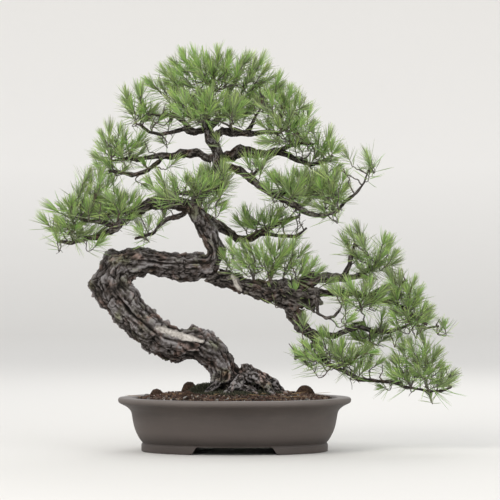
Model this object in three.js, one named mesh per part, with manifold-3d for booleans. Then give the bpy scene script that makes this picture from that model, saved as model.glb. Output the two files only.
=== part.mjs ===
// A semi-cascade pine bonsai in an oval clay pot, in millimetres, +Z up, +X to the viewer's right, +Y away.
// The wood is built from tapered limbs: each is a list of [x, y, z, radius] stations along its centreline.
// Each cloud of needles is one closed solid, a union of rounded lobes, each [x, y, z, radius, half height].
// Everything is laid out from the pot's centre, and the finished group is moved so that the frame's origin
// is the middle of the underside of its bounding box.
import * as THREE from "three";
import Module from "manifold-3d";
import { mergeVertices } from "three/addons/utils/BufferGeometryUtils.js";

const wasm = await Module();
wasm.setup();

// ---- driving dimensions ----
const GAP = 0.3; // clearance between pieces that touch
const POT_HALF_LENGTH = 216; // of the wall at mid height, the reference oval
const POT_HALF_WIDTH = 157;
const POT_SEGMENTS = 32;
const RIM_HEIGHT = 116;
const FOOT_HEIGHT = 17;
const FLOOR_TOP = 28;
const FOOT_RING_WIDTH = 25;
const FOOT_GAP_HALF_LENGTH = 92; // of the openings in the foot ring, front and back
const DRAIN_HOLE_X = 95;
const DRAIN_HOLE_RADIUS = 13;
const SCREEN_SIZE = 46;
const SCREEN_THICKNESS = 1.5;
const CLIP_WIRE_RADIUS = 0.9;
const ANCHOR_WIRE_RADIUS = 1.5;
const TRUNK_SIDES = 10;
const ROOT_SIDES = 5;
const BRANCH_SIDES = 5;
const WIRE_SIDES = 4;
const WIRE_RINGS = 3; // between stations, so that its bends stay sharp
const LOBE_SIDES = 6;
const LOBE_STEPS = 4; // from its lowest point to its highest
const LOBE_DEPTH = 1.3; // of a needle cloud's lobe, as a share of its width

// ---- colours and finishes ----
const material = (color, roughness, metalness = 0) =>
  new THREE.MeshStandardMaterial({ color, roughness, metalness });
const CLAY = material(0x6f625b, 0.62);
const SOIL = material(0x54392b, 0.95);
const BARK = material(0x5d524b, 0.92);
const BRANCH_BARK = material(0x3b3229, 0.92);
const NEEDLES = material(0x5f8f3c, 0.6);
const MOSS = material(0x39422a, 0.95);
const CAKE = material(0x3f2a1f, 0.85);
const SCREEN = material(0x1d1d1c, 0.6);
const WIRE = material(0x6b5243, 0.4, 0.9);

// ---- solids ----
function solidOf(geometry) {
  const bare = geometry.clone();
  bare.deleteAttribute("normal");
  bare.deleteAttribute("uv");
  const merged = mergeVertices(bare, 1e-3);
  return new wasm.Manifold(
    new wasm.Mesh({
      numProp: 3,
      vertProperties: merged.attributes.position.array,
      triVerts: new Uint32Array(merged.index.array),
    }),
  );
}

function geometryOf(solid) {
  const mesh = solid.getMesh();
  const geometry = new THREE.BufferGeometry();
  geometry.setAttribute("position", new THREE.BufferAttribute(mesh.vertProperties, 3));
  geometry.setIndex(new THREE.BufferAttribute(mesh.triVerts, 1));
  return geometry.toNonIndexed();
}

const joined = (solids) => solids.reduce((sum, solid) => sum.add(solid));
const without = (solid, cutters) => cutters.reduce((left, cutter) => left.subtract(cutter), solid);

// A cut can leave crumbs beside the main body, which aren't part of the piece.
function largestBody(solid) {
  return solid.decompose().reduce((a, b) => (a.volume() > b.volume() ? a : b));
}

// Moves every vertex of a geometry.
function reshaped(geometry, place) {
  const position = geometry.attributes.position;
  const vertex = new THREE.Vector3();
  for (let i = 0; i < position.count; i++) {
    place(vertex.fromBufferAttribute(position, i));
    position.setXYZ(i, vertex.x, vertex.y, vertex.z);
  }
  return geometry;
}

// A closed cylinder bent along a smooth line through the stations, as thick as they say.
// grow makes it that much thicker and longer, to cut a clearance.
function limb(stations, sides, grow = 0, ringsPerStation = 1) {
  const line = new THREE.CatmullRomCurve3(
    stations.map(([x, y, z]) => new THREE.Vector3(x, y, z)),
    false,
    "centripetal",
  );
  const rings = (stations.length - 1) * ringsPerStation;
  const { tangents, normals, binormals } = line.computeFrenetFrames(rings, false);
  const radiusAt = (u) => {
    const t = line.getUtoTmapping(u) * (stations.length - 1);
    const i = Math.min(Math.floor(t), stations.length - 2);
    return THREE.MathUtils.lerp(stations[i][3], stations[i + 1][3], t - i);
  };
  const bent = reshaped(new THREE.CylinderGeometry(1, 1, 1, sides, rings), (vertex) => {
    const ring = Math.round((vertex.y + 0.5) * rings);
    const u = ring / rings;
    const reach = radiusAt(u) + grow;
    const beyond = grow * ((ring === rings) - (ring === 0));
    const { x, z } = vertex;
    line.getPointAt(u, vertex);
    vertex.addScaledVector(normals[ring], x * reach);
    vertex.addScaledVector(binormals[ring], -z * reach);
    vertex.addScaledVector(tangents[ring], beyond);
  });
  return solidOf(bent);
}

// A closed stack of ovals. Each ring is [offset from the pot's reference oval, height, scale of that oval].
function ovalStack(rings) {
  const last = rings.length - 1;
  const stack = reshaped(new THREE.CylinderGeometry(1, 1, 1, POT_SEGMENTS, last), (vertex) => {
    const [offset, height, scale = 1] = rings[Math.round((vertex.y + 0.5) * last)];
    const out = Math.min(1, Math.hypot(vertex.x, vertex.z)); // 0 at the middle of a cap
    const cos = vertex.x;
    const sin = -vertex.z;
    const steep = Math.hypot(POT_HALF_WIDTH * cos, POT_HALF_LENGTH * sin) || 1;
    vertex.set(
      POT_HALF_LENGTH * scale * cos + (offset * out * POT_HALF_WIDTH * cos) / steep,
      POT_HALF_WIDTH * scale * sin + (offset * out * POT_HALF_LENGTH * sin) / steep,
      height,
    );
  });
  return solidOf(stack);
}

function ellipsoid([x, y, z], [rx, ry, rz], grow = 0, around = LOBE_SIDES, down = LOBE_STEPS) {
  const ball = new THREE.SphereGeometry(1, around, down);
  ball.rotateX(Math.PI / 2); // its poles point up and down
  ball.scale(rx + grow, ry + grow, rz + grow);
  ball.translate(x, y, z);
  return solidOf(ball);
}

// ---- pot ----
const OUTER_WALL = [
  [-15.5, 0],
  [-15.5, FOOT_HEIGHT],
  [-15, FOOT_HEIGHT + 5],
  [-8, 33],
  [-2, 46],
  [2.5, 63],
  [5, 79],
  [9, 89],
  [17, 96.5],
  [28, 102],
  [33.5, 106],
  [34.5, 111],
  [32, 115],
  [28, RIM_HEIGHT],
];
const INNER_WALL = [
  [-26, FLOOR_TOP],
  [-16, FLOOR_TOP + 6],
  [-10, 60],
  [-4, 95],
  [0, 108],
  [4, RIM_HEIGHT],
  [8, RIM_HEIGHT + 5],
];

function footGapCutter() {
  const top = FOOT_HEIGHT - 0.5;
  const outline = new THREE.Shape();
  outline.moveTo(-FOOT_GAP_HALF_LENGTH, -2);
  outline.lineTo(FOOT_GAP_HALF_LENGTH, -2);
  outline.lineTo(FOOT_GAP_HALF_LENGTH - 11, top - 4);
  outline.lineTo(FOOT_GAP_HALF_LENGTH - 16, top);
  outline.lineTo(-FOOT_GAP_HALF_LENGTH + 16, top);
  outline.lineTo(-FOOT_GAP_HALF_LENGTH + 11, top - 4);
  outline.closePath();
  const prism = new THREE.ExtrudeGeometry(outline, {
    depth: 4 * POT_HALF_WIDTH,
    bevelEnabled: false,
  });
  prism.rotateX(Math.PI / 2);
  prism.translate(0, 2 * POT_HALF_WIDTH, 0);
  return solidOf(prism);
}

function drainHoleCutter(x) {
  const drill = new THREE.CylinderGeometry(DRAIN_HOLE_RADIUS, DRAIN_HOLE_RADIUS, 40, 16);
  drill.rotateX(Math.PI / 2);
  drill.translate(x, 0, FLOOR_TOP);
  return solidOf(drill);
}

const footInset = OUTER_WALL[0][0] - FOOT_RING_WIDTH;
const pot = without(ovalStack(OUTER_WALL), [
  ovalStack(INNER_WALL),
  ovalStack([
    [footInset, -5],
    [footInset, FOOT_HEIGHT],
  ]),
  footGapCutter(),
  drainHoleCutter(-DRAIN_HOLE_X),
  drainHoleCutter(DRAIN_HOLE_X),
]);

// ---- trunk: from the roots round its bend, and up to the apex ----
const TRUNK = [
  [8, 4, 96, 46],
  [-8, 3, 132, 41],
  [-22, 2, 168, 32],
  [-40, 0, 206, 33],
  [-78, -4, 230, 41],
  [-115, -9, 229, 38],
  [-162, -8, 242, 38],
  [-200, -2, 272, 38],
  [-235, 5, 311, 42],
  [-262, 11, 342, 45],
  [-270, 16, 375, 51],
  [-248, 20, 396, 44],
  [-214, 22, 408, 34],
  [-186, 22, 409, 30],
  [-148, 20, 402, 30],
  [-107, 17, 396, 31],
  [-68, 14, 394, 33],
  [-43, 11, 402, 24],
  [-38, 8, 428, 21],
  [-50, 4, 461, 20],
  [-71, 1, 494, 19],
  [-88, 0, 521, 19],
  [-80, 2, 545, 17],
  [-54, 6, 572, 15],
  [-36, 10, 597, 14],
  [-33, 12, 627, 14],
  [-40, 12, 651, 13],
  [-53, 10, 676, 12.5],
  [-60, 7, 699, 12],
  [-66, 5, 720, 9],
  [-62, 1, 748, 6.5],
  [-52, -4, 778, 5],
  [-46, -8, 806, 3.5],
];
const ROOTS = [
  [
    [20, -4, 168, 17], [46, -8, 168, 13], [72, -12, 154, 11], [96, -16, 134, 10], [114, -22, 114, 8],
    [126, -27, 102, 6],
  ],
  [[22, -14, 162, 15], [50, -34, 158, 11], [74, -48, 138, 10], [84, -60, 116, 9], [98, -72, 101, 6]],
  [[22, -16, 164, 13], [6, -44, 149, 11], [-12, -62, 130, 10], [-26, -78, 112, 9], [-38, -92, 101, 6]],
  [[-10, -20, 148, 14], [-33, -33, 149, 11], [-51, -42, 135, 10], [-62, -49, 116, 8], [-69, -54, 101, 6]],
  [[10, -40, 142, 11], [34, -62, 131, 9], [54, -80, 114, 8], [68, -94, 101, 6]],
  [[-18, 0, 142, 16], [-56, -4, 132, 12], [-84, 2, 116, 9], [-104, 6, 102, 6]],
  [[-12, 15, 144, 17], [-42, 52, 127, 12], [-68, 84, 101, 6]],
  [[5, 18, 146, 17], [20, 60, 130, 12], [32, 98, 101, 6]],
  [[15, 12, 152, 18], [60, 34, 140, 13], [104, 58, 102, 7]],
];
const ROOT_CROWN = { centre: [8, -2, 110], radii: [60, 50, 34] };
const ROOT_KNOB = { centre: [27, -6, 176], radii: [19, 18, 17] };

const trunkSolid = (grow) =>
  joined([
    limb(TRUNK, TRUNK_SIDES, grow),
    ...ROOTS.map((root) => limb(root, ROOT_SIDES, grow)),
    ellipsoid(ROOT_CROWN.centre, ROOT_CROWN.radii, grow, 10, 6),
    ellipsoid(ROOT_KNOB.centre, ROOT_KNOB.radii, grow),
  ]);
const trunk = trunkSolid(0);
const trunkClearance = trunkSolid(GAP);

// ---- branches, each a main limb with its forks, in the order that they leave what carries them ----
const BRANCHES = {
  cascade_limb: [
    [
      [-58, 12, 382, 24], [-30, 10, 374, 23], [1, 6, 362, 22], [34, 0, 352, 21], [70, -5, 344, 26],
      [107, -6, 339, 33], [136, -6, 335, 34], [158, -8, 325, 29], [178, -10, 314, 17],
    ],
  ],
  cascade_upper_branch: [
    [
      [130, -2, 352, 21], [158, 4, 366, 19], [181, 8, 371, 17], [212, 12, 374, 12], [254, 16, 372, 9],
      [290, 20, 388, 6.5], [318, 22, 410, 4],
    ],
    [[236, 14, 374, 8], [246, 4, 398, 6.5], [252, -4, 426, 5], [258, -8, 452, 3.5]],
  ],
  cascade_middle_branch: [
    [
      [160, -2, 340, 14], [184, 4, 342, 12], [216, 0, 336, 10], [252, -8, 344, 8.5],
      [285, -15, 325, 8], [318, -20, 325, 7], [356, -22, 312, 6], [388, -20, 288, 5],
      [414, -18, 272, 4],
    ],
    [[285, -15, 325, 6.5], [312, -4, 348, 5.5], [340, 2, 360, 4.5], [372, 4, 366, 3.5]],
  ],
  cascade_hanging_branch: [
    [
      [168, -20, 330, 7], [177, -34, 312, 5.5], [180, -38, 294, 5], [194, -38, 286, 4.5],
      [212, -34, 288, 4], [226, -30, 306, 3.5],
    ],
  ],
  cascade_lower_branch: [
    [
      [124, -6, 318, 27], [130, -8, 296, 22], [140, -9, 276, 16], [156, -10, 260, 12],
      [176, -12, 240, 9], [185, -14, 215, 8.5], [192, -16, 192, 8], [223, -15, 177, 7.5],
      [248, -12, 165, 7], [264, -10, 154, 6.5], [284, -8, 156, 6], [305, -6, 148, 5.5],
      [330, -4, 152, 5.5], [350, -2, 144, 5], [380, 0, 135, 4.5], [413, 2, 129, 4], [446, 4, 128, 3.5],
      [468, 5, 138, 3],
    ],
    [[176, -12, 240, 7], [160, -22, 222, 5.5], [142, -28, 206, 4.5], [128, -30, 198, 3.5]],
  ],
  cascade_inner_branch: [
    [
      [166, -4, 256, 9], [190, 12, 250, 8.5], [218, 24, 248, 8], [238, 28, 254, 8],
      [256, 30, 268, 7.5], [286, 32, 260, 7], [312, 34, 254, 6.5], [350, 34, 258, 5.5],
      [378, 32, 274, 4.5], [418, 28, 262, 3.5], [442, 26, 268, 2.8],
    ],
    [[238, 28, 254, 6.5], [246, 52, 262, 5.5], [262, 76, 272, 4.5], [286, 88, 276, 3.5]],
  ],
  low_right_branch: [
    [
      [-64, 8, 500, 13], [-44, 26, 488, 12], [-20, 36, 475, 11.5], [2, 42, 456, 11],
      [26, 46, 453, 10.5], [44, 48, 466, 9.5], [70, 50, 479, 7.5], [104, 52, 494, 6],
      [140, 54, 505, 4],
    ],
    [[44, 48, 466, 6.5], [80, 44, 466, 5], [108, 42, 461, 4.5], [138, 42, 464, 3.5], [156, 42, 480, 2.8]],
  ],
  lower_left_branch: [
    [
      [-88, -2, 522, 17], [-122, -6, 532, 18], [-156, -9, 537, 18], [-184, -13, 532, 14],
      [-204, -18, 516, 11.5], [-222, -22, 508, 10.5], [-250, -26, 482, 9.5], [-289, -28, 461, 8],
      [-321, -26, 455, 6.5], [-354, -22, 447, 5], [-380, -18, 452, 3.5],
    ],
    [
      [-204, -18, 516, 8], [-236, 8, 516, 6.5], [-262, 30, 514, 5.5], [-290, 52, 508, 4.5],
      [-306, 62, 506, 3.5],
    ],
    [[-250, -26, 482, 7], [-282, -36, 490, 5.5], [-316, -42, 494, 4.5], [-346, -40, 506, 3.5]],
  ],
  left_twig_branch: [
    [
      [-104, -10, 510, 7.5], [-124, -24, 503, 6.5], [-146, -32, 497, 5.5], [-160, -36, 484, 5],
      [-170, -38, 471, 4.5], [-196, -38, 461, 4], [-214, -36, 456, 3.2],
    ],
  ],
  upper_left_branch: [
    [
      [-38, 13, 626, 12], [-62, 15, 631, 10.5], [-80, 15, 639, 9.5], [-109, 14, 642, 9.5],
      [-126, 12, 636, 9], [-148, 8, 636, 8.5], [-172, 4, 636, 8], [-190, 0, 627, 7],
      [-216, -6, 630, 6], [-246, -12, 626, 5], [-276, -16, 622, 3.8],
    ],
    [
      [-148, 8, 636, 6.5], [-168, -8, 618, 6], [-184, -16, 604, 6.5], [-204, -24, 592, 7],
      [-238, -30, 598, 5], [-272, -32, 602, 3.8],
    ],
  ],
  crown_left_branch: [
    [
      [-58, 5, 694, 10], [-78, 0, 688, 8.5], [-105, -6, 692, 7], [-130, -8, 688, 5.5],
      [-150, -10, 680, 5], [-182, -12, 684, 4], [-204, -12, 702, 3],
    ],
    [
      [-92, -3, 690, 6.5], [-112, -14, 710, 6.5], [-128, -22, 722, 6], [-156, -30, 720, 5],
      [-186, -36, 724, 4],
    ],
  ],
  crown_right_branch: [
    [
      [-54, 7, 672, 11], [-28, 2, 686, 9.5], [-5, -2, 687, 9], [24, -6, 680, 8.5], [52, -9, 686, 7],
      [84, -12, 683, 6], [118, -14, 696, 4.5], [148, -14, 716, 3.2],
    ],
    [[24, -6, 680, 6], [38, -20, 700, 5], [48, -30, 724, 4], [60, -36, 742, 3]],
  ],
  crown_back_branch: [
    [[-58, 12, 692, 10], [-50, 38, 702, 8.5], [-36, 62, 716, 7], [-14, 84, 730, 5.5], [10, 96, 746, 4]],
    [[-50, 38, 702, 6.5], [-74, 60, 716, 5], [-94, 78, 732, 3.8]],
  ],
  upper_right_branch: [
    [
      [-34, 12, 634, 14], [-6, 18, 635, 14], [16, 22, 646, 15], [44, 26, 642, 12.5],
      [74, 30, 641, 10.5], [98, 34, 645, 8.5], [122, 36, 634, 7], [140, 38, 625, 6.5],
      [162, 40, 617, 6], [188, 40, 621, 5], [212, 40, 636, 3.8],
    ],
    [[98, 34, 645, 6.5], [118, 20, 656, 5.5], [142, 10, 662, 4.5], [170, 6, 660, 3.5]],
  ],
  long_right_branch: [
    [
      [-34, 8, 604, 12], [-12, -2, 612, 10.5], [4, -8, 607, 10], [35, -18, 587, 9.5],
      [56, -24, 570, 9.5], [76, -29, 553, 9], [104, -35, 538, 8], [132, -39, 525, 7.5],
      [152, -41, 512, 7], [190, -41, 506, 6.5], [214, -39, 511, 5.5], [236, -35, 535, 4.5],
      [262, -31, 556, 3.6], [280, -28, 582, 3], [287, -26, 604, 2.6],
    ],
    [[76, -29, 553, 7], [110, -10, 550, 6], [146, 6, 552, 5], [184, 14, 556, 4]],
    [[35, -18, 587, 6.5], [48, -36, 600, 5], [58, -46, 612, 4]],
  ],
  front_branch: [
    [
      [-80, -4, 543, 10], [-86, -26, 554, 8.5], [-92, -46, 556, 7], [-112, -58, 552, 5],
      [-138, -62, 556, 3.8],
    ],
    [[-86, -26, 554, 6.5], [-62, -44, 560, 5.5], [-36, -54, 566, 4.2], [-20, -58, 572, 3.4]],
  ],
  back_branch: [
    [[-66, 8, 562, 11], [-58, 34, 566, 9.5], [-48, 62, 566, 8], [-42, 92, 566, 6], [-34, 118, 572, 4]],
    [[-48, 62, 566, 6], [-66, 86, 562, 5], [-82, 108, 566, 3.8]],
  ],
};

// Each branch is cut clear of the trunk and of the branches listed before it.
const branches = {};
const woodClearance = [trunkClearance];
for (const [name, limbs] of Object.entries(BRANCHES)) {
  const grown = (grow) => joined(limbs.map((stations) => limb(stations, BRANCH_SIDES, grow)));
  branches[name] = largestBody(without(grown(0), woodClearance));
  woodClearance.push(grown(GAP));
}

// ---- needle clouds ----
const NEEDLE_CLOUDS = {
  crown_top: [
    [-174, 2, 794, 32, 32], [-128, 0, 808, 46, 42], [-134, 2, 834, 32, 28], [-66, -14, 828, 54, 42],
    [-42, -8, 850, 28, 30], [2, -6, 830, 54, 42], [52, 6, 824, 42, 36], [84, 0, 794, 38, 32],
    [-112, 0, 846, 24, 28], [-152, 2, 826, 26, 28],
  ],
  crown_left: [[-212, -22, 756, 46, 40], [-172, -30, 728, 38, 30]],
  crown_front: [[-112, -48, 752, 44, 32], [-58, -66, 752, 46, 34], [-4, -62, 744, 44, 34]],
  crown_right: [
    [66, -26, 758, 46, 34], [104, -8, 766, 44, 34], [140, -14, 732, 46, 38], [78, -32, 708, 40, 26],
    [70, -34, 672, 36, 18], [160, -14, 714, 34, 30],
  ],
  crown_back: [[-76, 68, 752, 48, 38], [16, 76, 762, 54, 40]],
  upper_left: [
    [-284, -20, 640, 38, 34], [-258, -18, 672, 42, 32], [-204, -12, 664, 34, 24], [-274, -18, 684, 28, 26],
    [-238, -16, 690, 32, 22],
  ],
  lower_left_outer: [
    [-380, -22, 504, 44, 38], [-332, -26, 534, 48, 42], [-320, -36, 474, 42, 32], [-286, -34, 462, 32, 22],
    [-296, -30, 582, 40, 30],
  ],
  lower_left_inner: [[-272, -26, 538, 48, 46], [-224, -30, 534, 42, 34]],
  lower_left_back: [[-306, 50, 528, 44, 36], [-260, 62, 530, 42, 34]],
  left_twig: [[-212, -38, 484, 26, 26], [-174, -36, 502, 30, 18]],
  trunk_front: [
    [-140, -54, 566, 44, 28], [-76, -56, 576, 42, 32], [-20, -52, 588, 38, 34], [-170, -52, 584, 28, 24],
    [-26, -48, 536, 32, 24],
  ],
  trunk_back: [[-52, 78, 592, 46, 36], [-56, 112, 586, 46, 34]],
  upper_right: [[144, 12, 686, 46, 34], [198, 24, 662, 42, 34], [222, 18, 618, 28, 22]],
  near_right_tuft: [[50, -48, 628, 34, 30]],
  right_inner: [[92, -26, 580, 46, 36], [142, -30, 558, 44, 36], [136, -30, 598, 26, 18]],
  right_outer: [[190, -28, 572, 50, 44], [222, -32, 574, 38, 42], [166, -36, 528, 28, 18]],
  right_back: [[138, 46, 578, 44, 34], [186, 50, 580, 44, 34]],
  right_tip_tuft: [[289, -26, 626, 26, 28]],
  low_right: [[18, 46, 508, 34, 28], [88, 50, 508, 46, 28]],
  cascade_inner: [
    [-4, -12, 428, 34, 36], [32, -10, 426, 38, 36], [76, -12, 420, 48, 42], [110, -8, 430, 40, 36],
    [150, -4, 410, 44, 32], [182, -2, 396, 24, 24], [-18, -14, 446, 24, 22],
  ],
  cascade_top: [[256, -2, 456, 36, 42], [276, 6, 404, 42, 34], [336, 14, 430, 36, 36]],
  cascade_outer: [
    [374, -8, 338, 48, 48], [404, -12, 304, 38, 38], [352, -24, 296, 42, 34], [342, -4, 376, 34, 22],
  ],
  cascade_side_tuft: [[452, 24, 274, 24, 22]],
  cascade_middle: [[236, -26, 350, 38, 28], [300, -20, 346, 42, 34]],
  cascade_low_inner: [
    [160, -26, 214, 46, 32], [190, -26, 258, 34, 28], [236, -18, 210, 50, 38], [292, -8, 202, 44, 34],
  ],
  cascade_low_outer: [
    [340, -4, 190, 40, 38], [396, 0, 190, 46, 40], [456, 4, 170, 42, 32], [438, 4, 204, 32, 26],
    [382, 6, 234, 42, 28],
  ],
  cascade_back: [[262, 64, 260, 40, 24], [318, 52, 258, 40, 24]],
};

// Each cloud is cut clear of all the wood and of the clouds listed before it.
const clouds = {};
const cloudClearance = [];
for (const [name, lobes] of Object.entries(NEEDLE_CLOUDS)) {
  const grown = (grow) =>
    joined(
      lobes.map(([x, y, z, radius, half]) =>
        ellipsoid([x, y, z], [radius, radius * LOBE_DEPTH, half], grow),
      ),
    );
  clouds[`${name}_needles`] = largestBody(without(grown(0), [...woodClearance, ...cloudClearance]));
  cloudClearance.push(grown(GAP));
}

// ---- drainage: a screen over each hole, the clip that holds it and the wire that ties the tree down ----
const CLIP_REACH = 9; // from the hole's axis to each leg of the clip
const CLIP_Y = 6;
const screenBottom = FLOOR_TOP + GAP;
const clipTop = screenBottom + SCREEN_THICKNESS + CLIP_WIRE_RADIUS + GAP;
const clipFoot = FOOT_HEIGHT - CLIP_WIRE_RADIUS - 0.6;

function clipLine(x) {
  const leg = (side) => [
    [x + side * (CLIP_REACH + 12), CLIP_Y, clipFoot, CLIP_WIRE_RADIUS],
    [x + side * (CLIP_REACH + 2), CLIP_Y, clipFoot, CLIP_WIRE_RADIUS],
    [x + side * CLIP_REACH, CLIP_Y, clipFoot + 2.5, CLIP_WIRE_RADIUS],
    [x + side * CLIP_REACH, CLIP_Y, clipTop - 2, CLIP_WIRE_RADIUS],
    [x + side * (CLIP_REACH - 2), CLIP_Y, clipTop, CLIP_WIRE_RADIUS],
  ];
  return [...leg(-1), ...leg(1).reverse()];
}

const ANCHOR_UNDER = FOOT_HEIGHT - ANCHOR_WIRE_RADIUS - 1; // where it runs below the floor
function anchorLine() {
  const half = (side) => [
    [side * 76, 22, 90, ANCHOR_WIRE_RADIUS],
    [side * 88, 14, 70, ANCHOR_WIRE_RADIUS],
    [side * DRAIN_HOLE_X, 0, 34, ANCHOR_WIRE_RADIUS],
    [side * DRAIN_HOLE_X, 0, ANCHOR_UNDER + 4, ANCHOR_WIRE_RADIUS],
    [side * (DRAIN_HOLE_X - 4), 0, ANCHOR_UNDER, ANCHOR_WIRE_RADIUS],
    [side * 40, 0, ANCHOR_UNDER, ANCHOR_WIRE_RADIUS],
  ];
  return [...half(-1), ...half(1).reverse()];
}

const clip = (x, grow = 0) => limb(clipLine(x), WIRE_SIDES, grow, WIRE_RINGS);
const anchor = (grow = 0) => limb(anchorLine(), WIRE_SIDES, grow, WIRE_RINGS);
const screenBox = (x, grow = 0) => {
  const side = SCREEN_SIZE + 2 * grow;
  const box = new THREE.BoxGeometry(side, side, SCREEN_THICKNESS + 2 * grow);
  return solidOf(box.translate(x, 0, screenBottom + SCREEN_THICKNESS / 2));
};
const screen = (x) => without(screenBox(x), [clip(x, GAP), anchor(GAP)]);

// ---- what lies on the soil ----
const CAKES = {
  // [x, y, radius, height of the top above the table]
  fertilizer_cake_left: [-168, 8, 14, 130],
  fertilizer_cake_middle: [-98, 34, 16, 147],
  fertilizer_cake_right: [152, 22, 18, 140],
  fertilizer_cake_front: [-98, -68, 14, 129],
};
const CAKE_BASE = 100; // their undersides press a little into the soil

function cake([x, y, radius, top], grow = 0) {
  const height = top - CAKE_BASE;
  const profile = [
    new THREE.Vector2(0, -grow),
    new THREE.Vector2((radius + grow) * 0.92, -grow),
    new THREE.Vector2(radius + grow, height * 0.45),
    new THREE.Vector2((radius + grow) * 0.8, height * 0.78),
    new THREE.Vector2((radius + grow) * 0.42, height * 0.95),
    new THREE.Vector2(0, height + grow),
  ];
  const dome = new THREE.LatheGeometry(profile, 7);
  dome.rotateX(Math.PI / 2);
  dome.translate(x, y, CAKE_BASE);
  return solidOf(dome);
}
const MOSS_PATCHES = {
  moss_left: [[-62, -20, 116], [40, 34, 30]],
  moss_front: [[52, -78, 108], [46, 26, 16]],
  moss_back: [[-4, 82, 108], [44, 28, 16]],
};
const moss = ([centre, radii], grow = 0) => ellipsoid(centre, radii, grow, 10, 6);
const cakeClearance = Object.values(CAKES).map((size) => cake(size, GAP));
const mossClearance = Object.values(MOSS_PATCHES).map((size) => moss(size, GAP));

// ---- soil ----
const SOIL_SURFACE = [
  [-3, 108],
  [-12, 114],
  [0, 121, 0.74],
  [0, 124, 0.5],
  [0, 125, 0.2],
];
const soilBody = ovalStack([
  ...INNER_WALL.slice(0, 4).map(([offset, height], i) => [offset - GAP, height + (i === 0 ? GAP : 0)]),
  ...SOIL_SURFACE,
]);
const soil = largestBody(
  without(soilBody, [
    trunkClearance,
    screenBox(-DRAIN_HOLE_X, GAP),
    screenBox(DRAIN_HOLE_X, GAP),
    clip(-DRAIN_HOLE_X, GAP),
    clip(DRAIN_HOLE_X, GAP),
    anchor(GAP),
    ...cakeClearance,
    ...mossClearance,
  ]),
);

// ---- the whole plant ----
const bonsai = new THREE.Group();

function addNode(name, solid, finish) {
  const mesh = new THREE.Mesh(geometryOf(solid), finish);
  mesh.name = name;
  bonsai.add(mesh);
}

addNode("pot", pot, CLAY);
addNode("drainage_screen_left", screen(-DRAIN_HOLE_X), SCREEN);
addNode("drainage_screen_right", screen(DRAIN_HOLE_X), SCREEN);
addNode("screen_clip_left", clip(-DRAIN_HOLE_X), WIRE);
addNode("screen_clip_right", clip(DRAIN_HOLE_X), WIRE);
addNode("anchor_wire", without(anchor(), [trunkClearance]), WIRE);
addNode("soil", soil, SOIL);
for (const [name, patch] of Object.entries(MOSS_PATCHES))
  addNode(name, largestBody(without(moss(patch), [trunkClearance, ...cakeClearance])), MOSS);
for (const [name, size] of Object.entries(CAKES)) addNode(name, cake(size), CAKE);
addNode("trunk", trunk, BARK);
for (const [name, solid] of Object.entries(branches)) addNode(name, solid, BRANCH_BARK);
for (const [name, solid] of Object.entries(clouds)) addNode(name, solid, NEEDLES);

const middle = new THREE.Box3().setFromObject(bonsai).getCenter(new THREE.Vector3());
bonsai.position.set(-middle.x, -middle.y, 0);

export default bonsai;
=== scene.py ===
import math

import bmesh
import bpy
import numpy as np
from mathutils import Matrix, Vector, noise
from mathutils.bvhtree import BVHTree
from mathutils.kdtree import KDTree


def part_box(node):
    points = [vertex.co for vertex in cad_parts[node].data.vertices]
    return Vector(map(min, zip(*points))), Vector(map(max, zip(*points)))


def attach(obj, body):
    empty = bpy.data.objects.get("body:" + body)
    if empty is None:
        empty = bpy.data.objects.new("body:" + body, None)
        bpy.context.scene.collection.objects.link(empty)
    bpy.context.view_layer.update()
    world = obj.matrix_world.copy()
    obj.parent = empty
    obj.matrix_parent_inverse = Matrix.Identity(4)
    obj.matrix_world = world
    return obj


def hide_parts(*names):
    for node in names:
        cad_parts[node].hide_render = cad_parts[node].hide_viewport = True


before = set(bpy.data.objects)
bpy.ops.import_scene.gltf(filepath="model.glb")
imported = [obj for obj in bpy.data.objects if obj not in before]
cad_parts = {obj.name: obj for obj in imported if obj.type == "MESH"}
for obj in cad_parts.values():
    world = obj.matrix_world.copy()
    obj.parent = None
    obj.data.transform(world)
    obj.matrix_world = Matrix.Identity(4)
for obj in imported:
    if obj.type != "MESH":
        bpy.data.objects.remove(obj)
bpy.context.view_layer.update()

MM = 0.001
BODY = "root"
UV_MAP = "OFBake"
UP = np.array([0.0, 0.0, 1.0])


def box_of(node):
    """The lowest and the highest corner of a CAD node."""
    low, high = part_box(node)
    return np.array(low), np.array(high)


pot_low, pot_high = box_of("pot")
POT_CENTRE = (pot_low + pot_high) / 2
RIM_TOP = pot_high[2]
CLOUDS = sorted(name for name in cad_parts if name.endswith("_needles"))
BRANCHES = sorted(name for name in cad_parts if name.endswith("_branch")) + ["cascade_limb"]
CUSHIONS = sorted(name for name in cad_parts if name.startswith("moss"))
CAKES = sorted(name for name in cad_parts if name.startswith("fertilizer"))


# ---- arrays and meshes ----
def unit(vectors):
    """The vectors at length 1."""
    return vectors / np.maximum(np.linalg.norm(vectors, axis=-1, keepdims=True), 1e-12)


def smoothstep(x, low, high):
    """0 below low and 1 above high, with a smooth rise between them."""
    t = np.clip((x - low) / (high - low), 0, 1)
    return t * t * (3 - 2 * t)


def noise_at(points, size, octaves, seed):
    """Smooth noise of about -1 to 1 at each point, whose largest lumps are about as wide as size."""
    shift = Vector((seed * 13.7, seed * 7.1, seed * 3.3))
    scaled = (points / size).tolist()
    return np.array([noise.fractal(Vector(p) + shift, 0.9, 2.1, octaves) for p in scaled])


def noise_vectors(points, size, octaves, seed, apart):
    """That noise along each axis; the axes' seeds are apart from each other."""
    return np.stack([noise_at(points, size, octaves, seed + apart * k) for k in range(3)], axis=1)


def turns_of(count):
    """Angles all the way round, evenly spaced."""
    return np.linspace(0, 2 * math.pi, count, endpoint=False)


def circle(x, radius, height, count):
    """Points on a level circle whose middle is at x."""
    turns = turns_of(count)
    return np.column_stack([x + radius * np.cos(turns), radius * np.sin(turns), 0 * turns + height])


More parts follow.
